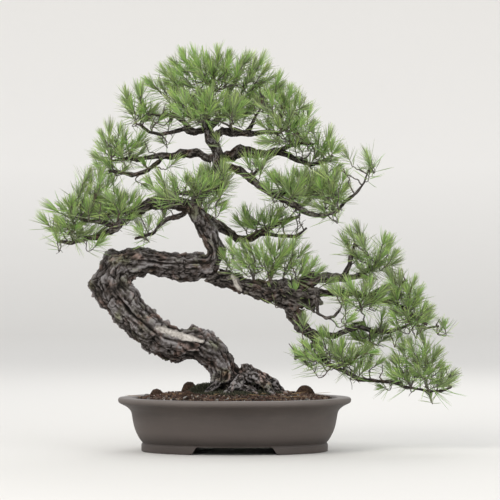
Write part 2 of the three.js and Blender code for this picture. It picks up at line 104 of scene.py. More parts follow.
def ring_quads(rings, count):
    """The quads that join rings of count points each, one ring after the other."""
    around = np.arange(count)
    after = (around + 1) % count
    quads = np.stack([around, after, after + count, around + count], axis=1)
    return np.concatenate([quads + ring * count for ring in range(rings - 1)])


def kd_tree(points):
    """A tree that finds the nearest of the points."""
    tree = KDTree(len(points))
    for i, p in enumerate(points.tolist()):
        tree.insert(p, i)
    tree.balance()
    return tree


def add_object(name, data):
    """A new object in the scene."""
    made = bpy.data.objects.new(name, data)
    bpy.context.scene.collection.objects.link(made)
    return made


def applied(made):
    """A new mesh that is the object's, with its modifiers applied."""
    return bpy.data.meshes.new_from_object(made.evaluated_get(bpy.context.evaluated_depsgraph_get()))


def node_triangles(node):
    """A CAD node's points and triangles."""
    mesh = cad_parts[node].data
    mesh.calc_loop_triangles()
    points = np.empty(len(mesh.vertices) * 3, np.float32)
    mesh.vertices.foreach_get("co", points)
    triangles = np.empty(len(mesh.loop_triangles) * 3, np.int32)
    mesh.loop_triangles.foreach_get("vertices", triangles)
    return points.reshape(-1, 3).astype(float), triangles.reshape(-1, 3)


def node_bvh(node):
    """A CAD node's solid, to cast rays at."""
    points, triangles = node_triangles(node)
    return BVHTree.FromPolygons(points.tolist(), triangles.tolist())


def mesh_from(name, points, faces, smooth=True):
    """A mesh from arrays of points and of faces that all have the same number of corners."""
    mesh = bpy.data.meshes.new(name)
    mesh.vertices.add(len(points))
    mesh.vertices.foreach_set("co", np.asarray(points, np.float32).ravel())
    mesh.loops.add(faces.size)
    mesh.loops.foreach_set("vertex_index", np.asarray(faces, np.int32).ravel())
    mesh.polygons.add(len(faces))
    mesh.polygons.foreach_set("loop_start", np.arange(0, faces.size, faces.shape[1], dtype=np.int32))
    mesh.polygons.foreach_set("use_smooth", np.full(len(faces), smooth))
    mesh.update(calc_edges=True)
    return mesh


def piece(name, mesh, material, slot, *replaced):
    """Adds a mesh to the object as a piece that stands for the CAD nodes named last."""
    mesh.materials.append(material)
    made = add_object(name, mesh)
    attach(made, BODY)
    if replaced:
        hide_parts(*replaced)
    return made


def set_uv(mesh, faces, places):
    """Gives the mesh its map: places holds each point's place on it."""
    layer = mesh.uv_layers.new(name=UV_MAP)
    layer.data.foreach_set("uv", places[faces.ravel()].astype(np.float32).ravel())


def mapped_piece(name, points, faces, places, material, slot, *replaced):
    """Many small things as one piece: places holds each point's place on the map that they share."""
    mesh = mesh_from(name, points, faces, smooth=False)
    set_uv(mesh, faces, places)
    piece(name, mesh, material, slot, *replaced)


def set_tint(mesh, channels):
    """Stores three numbers from 0 to 1 for each point, which the materials read as the attribute tint."""
    layer = mesh.color_attributes.new(name="tint", type="FLOAT_COLOR", domain="POINT")
    colours = np.ones((len(mesh.vertices), 4), np.float32)
    colours[:, :3] = np.clip(np.stack(channels, axis=1), 0, 1)
    layer.data.foreach_set("color", colours.ravel())


def remeshed(node, voxel):
    """A CAD node's solid as an even skin of quads."""
    points, triangles = node_triangles(node)
    holder = add_object("holder", mesh_from("holder", points, triangles))
    modifier = holder.modifiers.new("voxels", "REMESH")
    modifier.mode = "VOXEL"
    modifier.voxel_size = voxel
    skin = applied(holder)
    found = np.empty(len(skin.vertices) * 3, np.float32)
    skin.vertices.foreach_get("co", found)
    quads = np.empty(len(skin.loops), np.int32)
    skin.loops.foreach_get("vertex_index", quads)
    bpy.data.objects.remove(holder)
    bpy.data.meshes.remove(skin)
    return found.reshape(-1, 3).astype(float), quads.reshape(-1, 4)


def normals_of(points, quads):
    """Each point's outward direction."""
    across = np.cross(
        points[quads[:, 2]] - points[quads[:, 0]], points[quads[:, 3]] - points[quads[:, 1]]
    )
    total = np.zeros_like(points)
    for corner in range(4):
        for axis in range(3):
            total[:, axis] += np.bincount(quads[:, corner], across[:, axis], len(points))
    return unit(total)


def evened(values, quads, rounds):
    """Values at the points, each moved towards the mean of its neighbours, over and over."""
    edges = np.concatenate([quads[:, [i, (i + 1) % 4]] for i in range(4)])
    count = np.bincount(edges[:, 0], minlength=len(values))
    values = values.reshape(len(values), -1)
    for _ in range(rounds):
        total = [np.bincount(edges[:, 0], column[edges[:, 1]], len(values)) for column in values.T]
        values = 0.4 * values + 0.6 * np.stack(total, axis=1) / np.maximum(count, 1)[:, None]
    return values


def rounded_skin(node, voxel, rounds):
    """The node's solid, its facets smoothed away and its thickness kept: points, quads and normals."""
    points, quads = remeshed(node, voxel)
    solid = node_bvh(node)
    points = evened(points, quads, rounds)
    normals = normals_of(points, quads)
    gaps = np.array([solid.find_nearest(p)[0] for p in points.tolist()]) - points
    shrunk = evened((gaps * normals).sum(1), quads, 2 * rounds)
    points = points + normals * shrunk
    return points, quads, normals


# ---- materials ----
class Nodes:
    """A material's node tree, with short calls that add nodes, link them and return their output."""

    def __init__(self, name):
        self.material = bpy.data.materials.new(name)
        self.material.use_nodes = True
        self.tree = self.material.node_tree
        self.shader = self.tree.nodes["Principled BSDF"]

    def add(self, kind, inputs=None, **settings):
        """Adds a node and returns it; inputs has its sockets' values or what they are linked to."""
        node = self.tree.nodes.new("ShaderNode" + kind)
        for name, value in settings.items():
            setattr(node, name, value)
        for name, value in (inputs or {}).items():
            self.put(value, node.inputs[name])
        return node

    def put(self, value, socket):
        """Links an output to the socket, or sets the socket's own value."""
        if isinstance(value, bpy.types.NodeSocket):
            self.tree.links.new(value, socket)
        else:
            socket.default_value = value

    def set(self, **inputs):
        """Puts values on the shader's sockets, or links to them."""
        for name, value in inputs.items():
            self.put(value, self.shader.inputs[name.replace("_", " ")])

    def coordinates(self):
        return self.add("TexCoord").outputs["Object"]

    def noise(self, scale, detail=4.0, roughness=0.6, vector=None):
        inputs = {
            "Vector": vector or self.coordinates(),
            "Scale": scale,
            "Detail": detail,
            "Roughness": roughness,
        }
        return self.add("TexNoise", inputs).outputs["Fac"]

    def ramp(self, value, *stops):
        """Colours by value: each stop is (place, colour)."""
        node = self.add("ValToRGB", {"Fac": value})
        ends = node.color_ramp.elements
        while len(ends) < len(stops):
            ends.new(0.5)
        for element, (place, colour) in zip(ends, stops):
            element.position = place
            element.color = (*colour, 1) if hasattr(colour, "__len__") else (colour, colour, colour, 1)
        return node.outputs["Color"]

    def mix(self, share, first, second, blend="MIX"):
        node = self.add("Mix", data_type="RGBA", blend_type=blend)
        for name, value in zip(("Factor", "A", "B"), (share, first, second)):
            sockets = [s for s in node.inputs if s.name == name and s.enabled]
            if isinstance(value, tuple):
                value = (*value, 1)
            self.put(value, sockets[0])
        return [s for s in node.outputs if s.enabled][0]

    def math(self, operation, *values):
        node = self.add("Math", operation=operation)
        for socket, value in zip(node.inputs, values):
            self.put(value, socket)
        return node.outputs[0]

    def bump(self, height, distance, strength=1.0, under=None):
        inputs = {"Height": height, "Distance": distance, "Strength": strength}
        if under is not None:
            inputs["Normal"] = under
        return self.add("Bump", inputs).outputs["Normal"]


BLEACHED_TONES = [
    (0.32, (0.15, 0.13, 0.115)),
    (0.46, (0.44, 0.405, 0.365)),
    (0.7, (0.72, 0.68, 0.63)),
]


def bark_material(name, tones, bump_mm):
    """Plated bark: tones go from its fissures to its palest edges. The attribute tint holds how far the
    surface stands out of its surroundings, used as painted highlight on raised bark and painted shade in
    hollows and cracks, its patches of tone with painted shade on downward-facing bark, and bare wood."""
    m = Nodes(name)
    tint = m.add("Attribute", attribute_name="tint").outputs["Color"]
    relief_tone_and_shading, patch_and_under_shade, bare = m.add("SeparateColor", {"Color": tint}).outputs
    fissure, dark, middle, light, pale = tones
    fine = m.noise(560, 6, 0.72)
    blotch = m.noise(110, 5, 0.65)
    # The bark's tone: painted highlight and shade from how far the surface rises, its own patches with
    # painted shade under the limb, and fine blotches.
    tone = m.math("ADD", m.math("MULTIPLY", relief_tone_and_shading, 0.50), m.math("MULTIPLY", patch_and_under_shade, 0.26))
    tone = m.math("ADD", tone, m.math("MULTIPLY", m.math("ADD", blotch, fine), 0.17))
    bark = m.ramp(tone, (0.26, fissure), (0.38, dark), (0.49, middle), (0.62, light), (0.82, pale))
    rust = m.ramp(m.noise(34, 4, 0.6), (0.52, 0.0), (0.66, 0.75))
    bark = m.mix(rust, bark, (1.22, 0.86, 0.70), "MULTIPLY")
    algae = m.ramp(m.noise(24, 4, 0.6), (0.54, 0.0), (0.68, 0.8))
    bark = m.mix(algae, bark, (0.82, 0.90, 0.56), "MULTIPLY")
    bleached = m.ramp(m.noise(130, 5, 0.65), *BLEACHED_TONES)
    roughness = m.ramp(fine, (0.3, 0.74), (0.7, 0.98))
    m.set(Base_Color=m.mix(bare, bark, bleached), Roughness=roughness, Specular_IOR_Level=0.28)
    grain = m.bump(fine, bump_mm * MM, 0.9)
    m.set(Normal=m.bump(m.noise(1500, 3, 0.6), 0.25 * bump_mm * MM, 0.6, grain))
    return m.material


COLUMNS = 128  # of the map that needles and grains share


def mapped_material(name, tones, roughness, along=None, specular=0.4):
    """For loose small things. Along the map's u each thing has its own tone, and v runs along it."""
    m = Nodes(name)
    place = m.add("SeparateXYZ", {"Vector": m.add("UVMap", uv_map=UV_MAP).outputs["UV"]})
    column = m.math("FLOOR", m.math("MULTIPLY", place.outputs["X"], float(COLUMNS)))
    own = m.add("TexWhiteNoise", {"W": column}, noise_dimensions="1D").outputs["Value"]
    colour = m.ramp(own, *tones)
    if along:
        colour = m.mix(1.0, colour, m.ramp(place.outputs["Y"], *along), "MULTIPLY")
    m.set(Base_Color=colour, Roughness=roughness, Specular_IOR_Level=specular)
    return m.material


def column_places(columns, around, along):
    """Places on that map: each thing keeps to its column, around and along are from 0 to 1."""
    return np.stack([(columns + 0.1 + 0.8 * around) / COLUMNS, 0.02 + 0.96 * along], axis=-1)


CLAY_TONES = [
    (0.3, (0.057, 0.046, 0.041)),
    (0.55, (0.078, 0.063, 0.056)),
    (0.75, (0.106, 0.087, 0.077)),
]


def clay_material():
    """Unglazed grey-brown stoneware: mottled and finely speckled, with painted light round its widest part, a
    rim paler towards its top where hands and water wear it and where a highlight is painted, and darker near
    the foot.
    """
    m = Nodes("fired_clay")
    at = m.coordinates()
    height = m.add("SeparateXYZ", {"Vector": at}).outputs["Z"]
    stretched = m.add("Mapping", {"Vector": at, "Scale": (1.0, 1.0, 6.0)}).outputs["Vector"]
    wiped = m.noise(14, 6, 0.65, stretched)
    mottled = m.noise(9, 5, 0.6)
    speckle = m.noise(900, 2, 0.5)
    tone = m.math("ADD", m.math("MULTIPLY", wiped, 0.45), m.math("MULTIPLY", mottled, 0.55))
    body = m.ramp(tone, *CLAY_TONES)
    body = m.mix(m.ramp(speckle, (0.66, 0.0), (0.74, 0.5)), body, (0.035, 0.027, 0.023))
    pale_specks = m.ramp(m.noise(1300, 2, 0.5), (0.68, 0.0), (0.78, 0.35))
    body = m.mix(pale_specks, body, (0.20, 0.175, 0.155))
    # Painted light: a paler band round the pot's widest part, where it faces the light.
    belly_painted_light = m.ramp(height, (0.028, 0.0), (0.044, 0.55), (0.062, 0.3), (0.085, 0.0))
    body = m.mix(belly_painted_light, body, (0.118, 0.098, 0.088))
    # Paler towards the top of the rim: partly wear, partly a painted highlight on its upward-facing top.
    rim_wear_and_highlight = m.ramp(height, (0.90 * RIM_TOP, 0.0), (0.97 * RIM_TOP, 0.5), (RIM_TOP, 0.75))
    body = m.mix(rim_wear_and_highlight, body, (0.205, 0.178, 0.160))
    # Darker near the bottom, most in a patchy band just above the foot.
    foot_band = m.ramp(height, (0.0, 0.25), (0.014, 0.15), (0.019, 0.7), (0.024, 0.5), (0.034, 0.0))
    darker_near_foot = m.math("MULTIPLY", foot_band, m.ramp(mottled, (0.3, 0.75), (0.7, 1.0)))
    body = m.mix(darker_near_foot, body, (0.036, 0.029, 0.025))
    m.set(Base_Color=body, Roughness=m.ramp(wiped, (0.3, 0.5), (0.7, 0.66)), Specular_IOR_Level=0.38)
    grit = m.bump(m.noise(750, 3, 0.6), 0.12 * MM, 0.6)
    m.set(Normal=m.bump(wiped, 0.6 * MM, 0.5, grit))
    return m.material


def crumb_material(name, dark, light, size, depth_mm):
    """Earthy crumbs, with lumps about size metres wide."""
    m = Nodes(name)
    cells = m.add("TexVoronoi", {"Vector": m.coordinates(), "Scale": 1 / size})
    tone = m.mix(0.5, cells.outputs["Color"], m.noise(2.5 / size, 5, 0.7))
    m.set(Base_Color=m.ramp(tone, (0.25, dark), (0.75, light)), Roughness=0.95, Specular_IOR_Level=0.2)
    crumbs = m.bump(m.noise(4 / size), depth_mm * MM)
    m.set(Normal=m.bump(cells.outputs["Distance"], depth_mm * MM, 0.8, crumbs))
    return m.material


def plain_material(name, dark, light, scale, roughness, metallic=0.0):
    """Moulded or drawn stuff: two near tones, worn unevenly."""
    m = Nodes(name)
    wear = m.noise(scale, 5, 0.65)
    m.set(Base_Color=m.ramp(wear, (0.3, dark), (0.7, light)), Metallic=metallic)
    m.set(Roughness=m.ramp(wear, (0.3, roughness), (0.7, min(1, roughness * 1.4))))
    m.set(Normal=m.bump(m.noise(3 * scale, 3, 0.6), 0.1 * MM, 0.6))
    return m.material


# Trunk bark from its fissures to its palest edges: the darkest tones serve as painted shade in cracks and
# hollows, the palest as painted highlight on raised bark.
TRUNK_TONES = [
    (0.006, 0.005, 0.004),
    (0.020, 0.016, 0.013),
    (0.056, 0.046, 0.041),
    (0.118, 0.104, 0.100),
    (0.265, 0.248, 0.244),
]
# The same for branch bark: darkest as painted shade, palest as painted highlight.
BRANCH_TONES = [
    (0.006, 0.005, 0.004),
    (0.018, 0.014, 0.011),
    (0.040, 0.032, 0.027),
    (0.078, 0.067, 0.060),
    (0.160, 0.144, 0.132),
]
NEEDLE_TONES = [  # old needles up to the middle, new ones from there
    (0.0, (0.170, 0.195, 0.100)),
    (0.28, (0.255, 0.310, 0.155)),
    (0.46, (0.350, 0.415, 0.215)),
    (0.52, (0.235, 0.420, 0.105)),
    (0.78, (0.385, 0.580, 0.160)),
    (0.97, (0.590, 0.730, 0.250)),
]
NEEDLE_ALONG = [  # what those are multiplied by, from a needle's foot to its tip
    (0.0, (0.62, 0.52, 0.42)),
    (0.10, (0.80, 0.82, 0.76)),
    (0.6, 1.0),
    (1.0, (1.12, 1.08, 0.85)),
]
TRUNK_BARK = bark_material("trunk_bark", TRUNK_TONES, 1.2)
BRANCH_BARK = bark_material("branch_bark", BRANCH_TONES, 0.7)
NEEDLE = mapped_material("pine_needle", NEEDLE_TONES, 0.45, along=NEEDLE_ALONG)
DRY_NEEDLE = mapped_material("dry_needle", [(0.0, (0.20, 0.10, 0.04)), (1.0, (0.42, 0.27, 0.12))], 0.6)
LAVA = mapped_material(
    "lava_grains",
    [(0.0, (0.022, 0.014, 0.011)), (0.5, (0.062, 0.036, 0.027)), (1.0, (0.125, 0.070, 0.050))],
    0.9,
    specular=0.2,
)
AKADAMA = mapped_material(
    "tan_clay_grains",
    [(0.0, (0.075, 0.050, 0.036)), (0.6, (0.150, 0.104, 0.073)), (1.0, (0.260, 0.195, 0.140))],
    0.9,
    specular=0.2,
)
GRIT = mapped_material(
    "grey_grit",
    [(0.0, (0.045, 0.043, 0.040)), (0.6, (0.150, 0.140, 0.130)), (1.0, (0.420, 0.390, 0.350))],
    0.8,
    specular=0.3,
)
MOSS_BLADE = mapped_material(
    "moss_blades",
    [(0.0, (0.018, 0.019, 0.012)), (0.6, (0.050, 0.051, 0.032)), (1.0, (0.125, 0.124, 0.082))],
    0.85,
    along=[(0.0, 0.45), (1.0, 1.2)],
    specular=0.2,
)


# ---- wood ----
def limb_frames(points, normals, reach, step):
    """At every step-th point: which way the limb runs there, from how the normals lie within reach of it."""
    tree = kd_tree(points[::step])
    sampled = normals[::step]
    ways = []
    for p in points[::step].tolist():
        near = sampled[[i for _, i, _ in tree.find_range(p, reach)]]
        ways.append(np.linalg.eigh(near.T @ near)[1][:, 0])
    return tree, np.array(ways)


PLATES_NEAR = 9  # how many plates' middles are compared at each point


def plates(points, ways, size, long, seed):
    """Cuts the skin into irregular plates: for each point, how far it is inside its plate (0 at the crack),
    the plate's own random number, and how far along its plate it lies (-1 to 1)."""
    rng = np.random.default_rng(seed)
    spacing = np.median(np.linalg.norm(points[1:] - points[:-1], axis=1))
    chance = spacing**2 / (size**2 * long)
    chosen = np.flatnonzero(rng.random(len(points)) < chance)
    tree = kd_tree(points[chosen])
    moved = points + noise_vectors(points, 9 * MM, 2, seed, 1) * (0.28 * size)[:, None]
    near = [[i for _, i, _ in tree.find_n(p, PLATES_NEAR)] for p in moved.tolist()]
    near = np.array([found + found[-1:] * (PLATES_NEAR - len(found)) for found in near])
    offset = moved[:, None, :] - points[chosen][near]
    along = (offset * ways[:, None, :]).sum(2)
    flat = np.sqrt(np.maximum((offset**2).sum(2) - along**2, 0) + (along / long) ** 2) / size[:, None]
    order = np.argsort(flat, axis=1)[:, :2]
    rows = np.arange(len(points))
    first, second = flat[rows, order[:, 0]], flat[rows, order[:, 1]]
    mine = near[rows, order[:, 0]]
    lift = along[rows, order[:, 0]] / (size * long)
    return second - first, rng.random(len(chosen))[mine], np.clip(lift, -1, 1)


# Lines across the front of a limb, in shares of its box's width and height, each with half its width.
BARE_STRIPS = {
    "trunk": [([(0.330, 0.262), (0.444, 0.243), (0.505, 0.230), (0.565, 0.219)], 8 * MM)],
    "cascade_limb": [([(0.223, 0.80), (0.259, 0.65), (0.320, 0.44)], 5 * MM)],
}
UNDER_BEND = [
    (0.130, 0.373),
    (0.202, 0.311),
    (0.275, 0.274),
    (0.384, 0.233),
    (0.505, 0.210),
    (0.575, 0.193),
]
OVER_BEND = [(0.222, 0.461), (0.350, 0.447), (0.493, 0.452), (0.590, 0.462)]
FURROWS = {"trunk": [(UNDER_BEND, 5 * MM), (OVER_BEND, 4 * MM)]}


def beside_line(points, line, low, high):
    """How far each point is above a line, and how far along it from 0 to 1, both seen from the front. The
    line's points are shares of the width and height of the box from low to high."""
    flat = points[:, [0, 2]]
    corners = low[[0, 2]] + np.array(line) * (high - low)[[0, 2]]
    spans = corners[1:] - corners[:-1]
    lengths = np.linalg.norm(spans, axis=1)
    best = np.full(len(flat), np.inf)
    above, along = np.zeros(len(flat)), np.zeros(len(flat))
    for i, (start, span) in enumerate(zip(corners, spans)):
        t = np.clip(((flat - start) @ span) / lengths[i] ** 2, 0, 1)
        gap = flat - start - t[:, None] * span
        away = np.linalg.norm(gap, axis=1)
        nearer = away < best
        best = np.where(nearer, away, best)
        side = np.sign(gap[:, 1] * span[0] - gap[:, 0] * span[1])
        above = np.where(nearer, away * side, above)
        along = np.where(nearer, (lengths[:i].sum() + t * lengths[i]) / lengths.sum(), along)
    return above, along


def scars(node, points, normals):
    """Where a limb's bark has died back to bare wood, and how far its surface stands out or is sunk there."""
    bare, rise = np.zeros(len(points)), np.zeros(len(points))
    low, high = box_of(node)
    front = smoothstep(-normals[:, 1], 0.0, 0.35)
    for line, half in BARE_STRIPS.get(node, []):
        above, along = beside_line(points, line, low, high)
        above = above + 1.6 * MM * noise_at(points, 14 * MM, 3, 5)
        width = half * np.sqrt(np.maximum(np.sin(math.pi * along), 0)) + 0.1 * MM
        strip = (1 - smoothstep(np.abs(above) / width, 0.75, 1.15)) * front
        bare = np.maximum(bare, strip)
        upper_lip = np.exp(-(((above - 1.5 * width) / (0.55 * half)) ** 2)) * (along > 0) * (along < 1)
        rise += (0.62 * half * upper_lip - 0.5 * half * strip) * front
    for line, half in FURROWS.get(node, []):
        above, along = beside_line(points, line, low, high)
        above = above + 3 * MM * noise_at(points, 22 * MM, 3, 6)
        ends = smoothstep(along, 0.0, 0.2) * (1 - smoothstep(along, 0.8, 1.0))
        rise -= 1.5 * half * np.exp(-((above / half) ** 2)) * ends * front
    return bare, rise


def streaks(points, quads, ways, size, rounds, seed):
    """Noise with lumps about as wide as size, drawn out along the limb over and over; its spread is 1."""
    corners = [(0, 1), (1, 2), (2, 3), (3, 0), (0, 2), (1, 3)]
    edges = np.concatenate([quads[:, pair] for pair in corners])
    edges = np.concatenate([edges, edges[:, ::-1]])
    steps = unit(points[edges[:, 1]] - points[edges[:, 0]])
    weight = np.abs((steps * ways[edges[:, 0]]).sum(1)) ** 8 + 1e-4
    total = np.maximum(np.bincount(edges[:, 0], weight, len(points)), 1e-9)
    values = noise_at(points, size, 3, seed)
    for _ in range(rounds):
        drawn = np.bincount(edges[:, 0], weight * values[edges[:, 1]], len(points))
        values = 0.35 * values + 0.65 * (drawn / total)
    return (values - values.mean()) / values.std()


def terraced(values, levels, edge):
    """The values in flat steps, levels of them to each unit; edge is the share of a step that rises."""
    scaled = values * levels
    floor = np.floor(scaled)
    return (floor + smoothstep(scaled - floor, 1 - edge, 1)) / levels


THIN_LIMB = 1.5 * MM  # the least radius that wood is taken to have
THICK_LIMB = 42 * MM  # the most, because bark grows no coarser on thicker wood


def limb_radius(node, points, quads, normals, reach):
    """Half the limb's thickness under each point of its skin, evened out."""
    solid = node_bvh(node)
    inside = (points - normals * 0.5 * MM).tolist()
    hits = [solid.ray_cast(p, n) for p, n in zip(inside, (-normals).tolist())]
    thick = np.array([hit[3] if hit[0] is not None else reach for hit in hits])
    radius = evened(np.clip(thick / 2, THIN_LIMB, 60 * MM), quads, 12)[:, 0]
    return np.minimum(radius, THICK_LIMB)


FRAME_STEP = 24  # every so many points of the skin, the way the limb runs is worked out
PLATE_LONG = 2.2  # times as long as wide
ROOT_HEIGHTS = (35 * MM, 75 * MM)  # above the rim, where the gnarled roots turn into smoother trunk


def wood(node, material, slot, voxel, reach, seed):
    """A limb's solid with its bark: strands along it, layered plates that flake at their edges, cracks, and
    its own lumps. Returns the skin's points, its normals and the limb's radius at each."""
    points, quads, normals = rounded_skin(node, voxel, 8)
    radius = limb_radius(node, points, quads, normals, reach)
    tree, ways = limb_frames(points, normals, reach, FRAME_STEP)
    ways = ways[[tree.find(p)[1] for p in points.tolist()]]
    heavy = node == "trunk"
    size = np.clip(0.34 * radius, 2.6 * MM, 12 * MM)
    depth = np.clip(0.12 * radius, 0.35 * MM, 4.2 * MM)
    inner, own, lift = plates(points, ways, size, PLATE_LONG, seed)
    cracked = smoothstep(noise_at(points, 26 * MM, 2, seed + 9), -0.25, 0.2)
    cracks = (1 - smoothstep(inner, 0.0, 0.2)) * cracked
    curled = np.where(own > 0.7, 1.0, 0.2)  # some plates stand away from the limb at one end
    width = 9 * MM if heavy else 5 * MM
    layers = terraced(streaks(points, quads, ways, width, 14 if heavy else 9, seed + 1), 1.6, 0.3)
    flakes = terraced(streaks(points, quads, ways, 0.4 * width, 5 if heavy else 3, seed + 2), 1.5, 0.4)
    strands = streaks(points, quads, ways, 3 * width, 40 if heavy else 20, seed + 3)
    lumps = noise_at(points, 46 * MM, 2, seed + 4) * 1.7 + noise_at(points, 17 * MM, 3, seed + 5) * 0.9
    bark = 0.42 * layers + 0.20 * flakes + curled * lift * 0.5 + 0.5 * own - 0.9 * cracks - 0.35
    bare, rise = scars(node, points, normals)
    grooves = streaks(points, quads, ways, 3 * MM, 12, seed + 6)
    shape = 0.45 * strands + (0.8 if heavy else 1.5) * lumps
    height = depth * (bark * (1 - bare) + shape * (1 - 0.6 * bare) + 0.07 * bare * grooves) + rise
    height += noise_at(points, 4 * MM, 2, seed + 7) * 0.25 * MM - 0.06 * radius
    rooted = (1 - smoothstep(points[:, 2] - RIM_TOP, *ROOT_HEIGHTS)) if heavy else np.zeros(len(points))
    height += rooted * noise_at(points, 15 * MM, 3, seed + 10) * 4 * MM
    # Painted light on the bark: where it stands out of its surroundings it is painted paler, as a highlight,
    # and where it lies lower it is painted darker, as shade; this also sets the plates' tone against their
    # cracks.
    away = height - evened(height, quads, 14)[:, 0]
    relief_tone_and_shading = 0.5 + 0.28 * away / np.maximum(0.3 * depth, 0.2 * MM)
    # Painted shade: darker in the limb's broad hollows.
    hollow = ((points - evened(points, quads, 40)) * normals).sum(1) / (0.02 * radius + 0.3 * MM)
    relief_tone_and_shading -= 0.55 * (1 - smoothstep(hollow, -2.5, 0.6))
    # Stronger painted highlight and painted shade on the gnarled roots.
    relief_tone_and_shading = 0.5 + (relief_tone_and_shading - 0.5) * (1 + 0.6 * rooted)
    # Painted shade: the bark is darker where its surface is sunk, mostly in the furrows under and over the
    # bend.
    sunk = smoothstep(-rise, 2 * MM, 8 * MM) * (1 - bare)
    patch_and_under_shade = 0.5 + 0.20 * strands + 0.40 * (own - 0.5) + 0.35 * noise_at(points, 34 * MM, 2, seed + 8)
    patch_and_under_shade -= 0.45 * smoothstep(-normals[:, 2], 0.1, 0.95)  # painted shade on downward-facing bark, and moist bark that stays darker below
    skin_points = points + normals * height[:, None]
    if not heavy:
        wander = noise_vectors(points, 30 * MM, 2, 60, 3)
        skin_points += wander * np.minimum(0.45 * radius, 4 * MM)[:, None]
    skin = mesh_from(node + "_wood", skin_points, quads)
    set_tint(skin, [relief_tone_and_shading * (1 - 0.75 * sunk), patch_and_under_shade, bare])
    piece(node + "_wood", skin, material, slot, node)
    return skin_points, normals, radius


# ---- twigs ----
TWIG_RADIUS = 0.95 * MM  # of a twig that carries one shoot
SHOOT_RADIUS = 0.95 * MM
CROOKED = 3.2 * MM  # about how far a twig wanders off its line
TWIGLETS_PER_M = 32


def tube(points, radii, sides=6):
    """A closed tube of triangles along the points."""
    steps = np.gradient(points, axis=0)
    ways = unit(steps)
    side = unit(np.cross(ways[0], UP if abs(ways[0][2]) < 0.9 else np.array([1.0, 0, 0])))
    rings = []
    turns = turns_of(sides)
    for point, way, radius in zip(points, ways, radii):
        side = unit(side - way * (side @ way))
        other = np.cross(way, side)
        rings.append(point + radius * (np.outer(np.cos(turns), side) + np.outer(np.sin(turns), other)))
    verts = np.concatenate([*rings, points[:1], points[-1:] + ways[-1:] * radii[-1]])
    faces = []
    for ring in range(len(points) - 1):
        for k in range(sides):
            a, b = ring * sides + k, ring * sides + (k + 1) % sides
            faces += [(a, b, b + sides), (a, b + sides, a + sides)]
    start, end = len(points) * sides, len(points) * sides + 1
    last = (len(points) - 1) * sides
    for k in range(sides):
        after = (k + 1) % sides
        faces += [(start, after, k), (end, last + k, last + after)]
    return verts, np.array(faces)


def joined(parts):
    """Several (points, faces) as one."""
    starts = np.cumsum([0] + [len(points) for points, _ in parts[:-1]])
    return (
        np.concatenate([points for points, _ in parts]),
        np.concatenate([faces + start for (_, faces), start in zip(parts, starts)]),
    )


def smooth_line(points, radii, per_span):
    """A Catmull-Rom line through the points, with its radii."""
    ends = np.concatenate([[2 * points[0] - points[1]], points, [2 * points[-1] - points[-2]]])
    t = np.arange(per_span)[:, None] / per_span
    line, thick = [], []
    for i in range(len(points) - 1):
        a, b, c, d = ends[i : i + 4]
        second, third = 2 * a - 5 * b + 4 * c - d, 3 * b - a - 3 * c + d
        line.append(0.5 * (2 * b + (c - a) * t + second * t**2 + third * t**3))
        thick.append(radii[i] + (radii[i + 1] - radii[i]) * t[:, 0])
    return np.concatenate([*line, points[-1:]]), np.concatenate([*thick, radii[-1:]])


def points_inside(node, spacing, depth, rng):
    """Scattered points inside a solid, at least spacing apart and depth below its skin."""
    solid = node_bvh(node)
    low, high = box_of(node)
    tries = low + rng.random((int(np.prod(high - low) / spacing**3 * 14), 3)) * (high - low)
    kept = []
    for p in tries:
        _, _, _, gap = solid.find_nearest(Vector(p))
        if gap < depth or crossings(solid, p) % 2 == 0:
            continue
        if kept and np.linalg.norm(np.array(kept) - p, axis=1).min() < spacing:
            continue
        kept.append(p)
    return np.array(kept)


def crossings(solid, point):
    """How often a ray from the point crosses the solid's skin: an odd number from inside."""
    way = Vector((0.123, 0.321, 0.939)).normalized()
    start, count = Vector(point), 0
    while count < 12:
        hit, _, _, _ = solid.ray_cast(start, way)
        if hit is None:
            break
        start, count = hit + way * 0.01 * MM, count + 1
    return count


def grow_twigs(tips, wood_tree):
    """Joins the tips to the nearest wood as a tree: each in turn, the one that is cheapest to reach, with
    the way back to the wood counted in. Returns each tip's parent (-1 for the wood) and its own point on
    the wood."""
    roots = [wood_tree.find(p) for p in tips.tolist()]
    from_wood = np.array([tuple(found[0]) for found in roots])
    cost = np.array([found[2] for found in roots]) * 1.5
    run = cost.copy()
    parent = np.full(len(tips), -1)
    waiting = np.ones(len(tips), bool)
    for _ in range(len(tips)):
        new = np.flatnonzero(waiting)[np.argmin(cost[waiting])]
        waiting[new] = False
        reach = np.linalg.norm(tips - tips[new], axis=1)
        offer = reach + 0.35 * run[new]
        better = waiting & (offer < cost)
        cost[better] = offer[better]
        run[better] = run[new] + reach[better]
        parent[better] = new
    return parent, from_wood


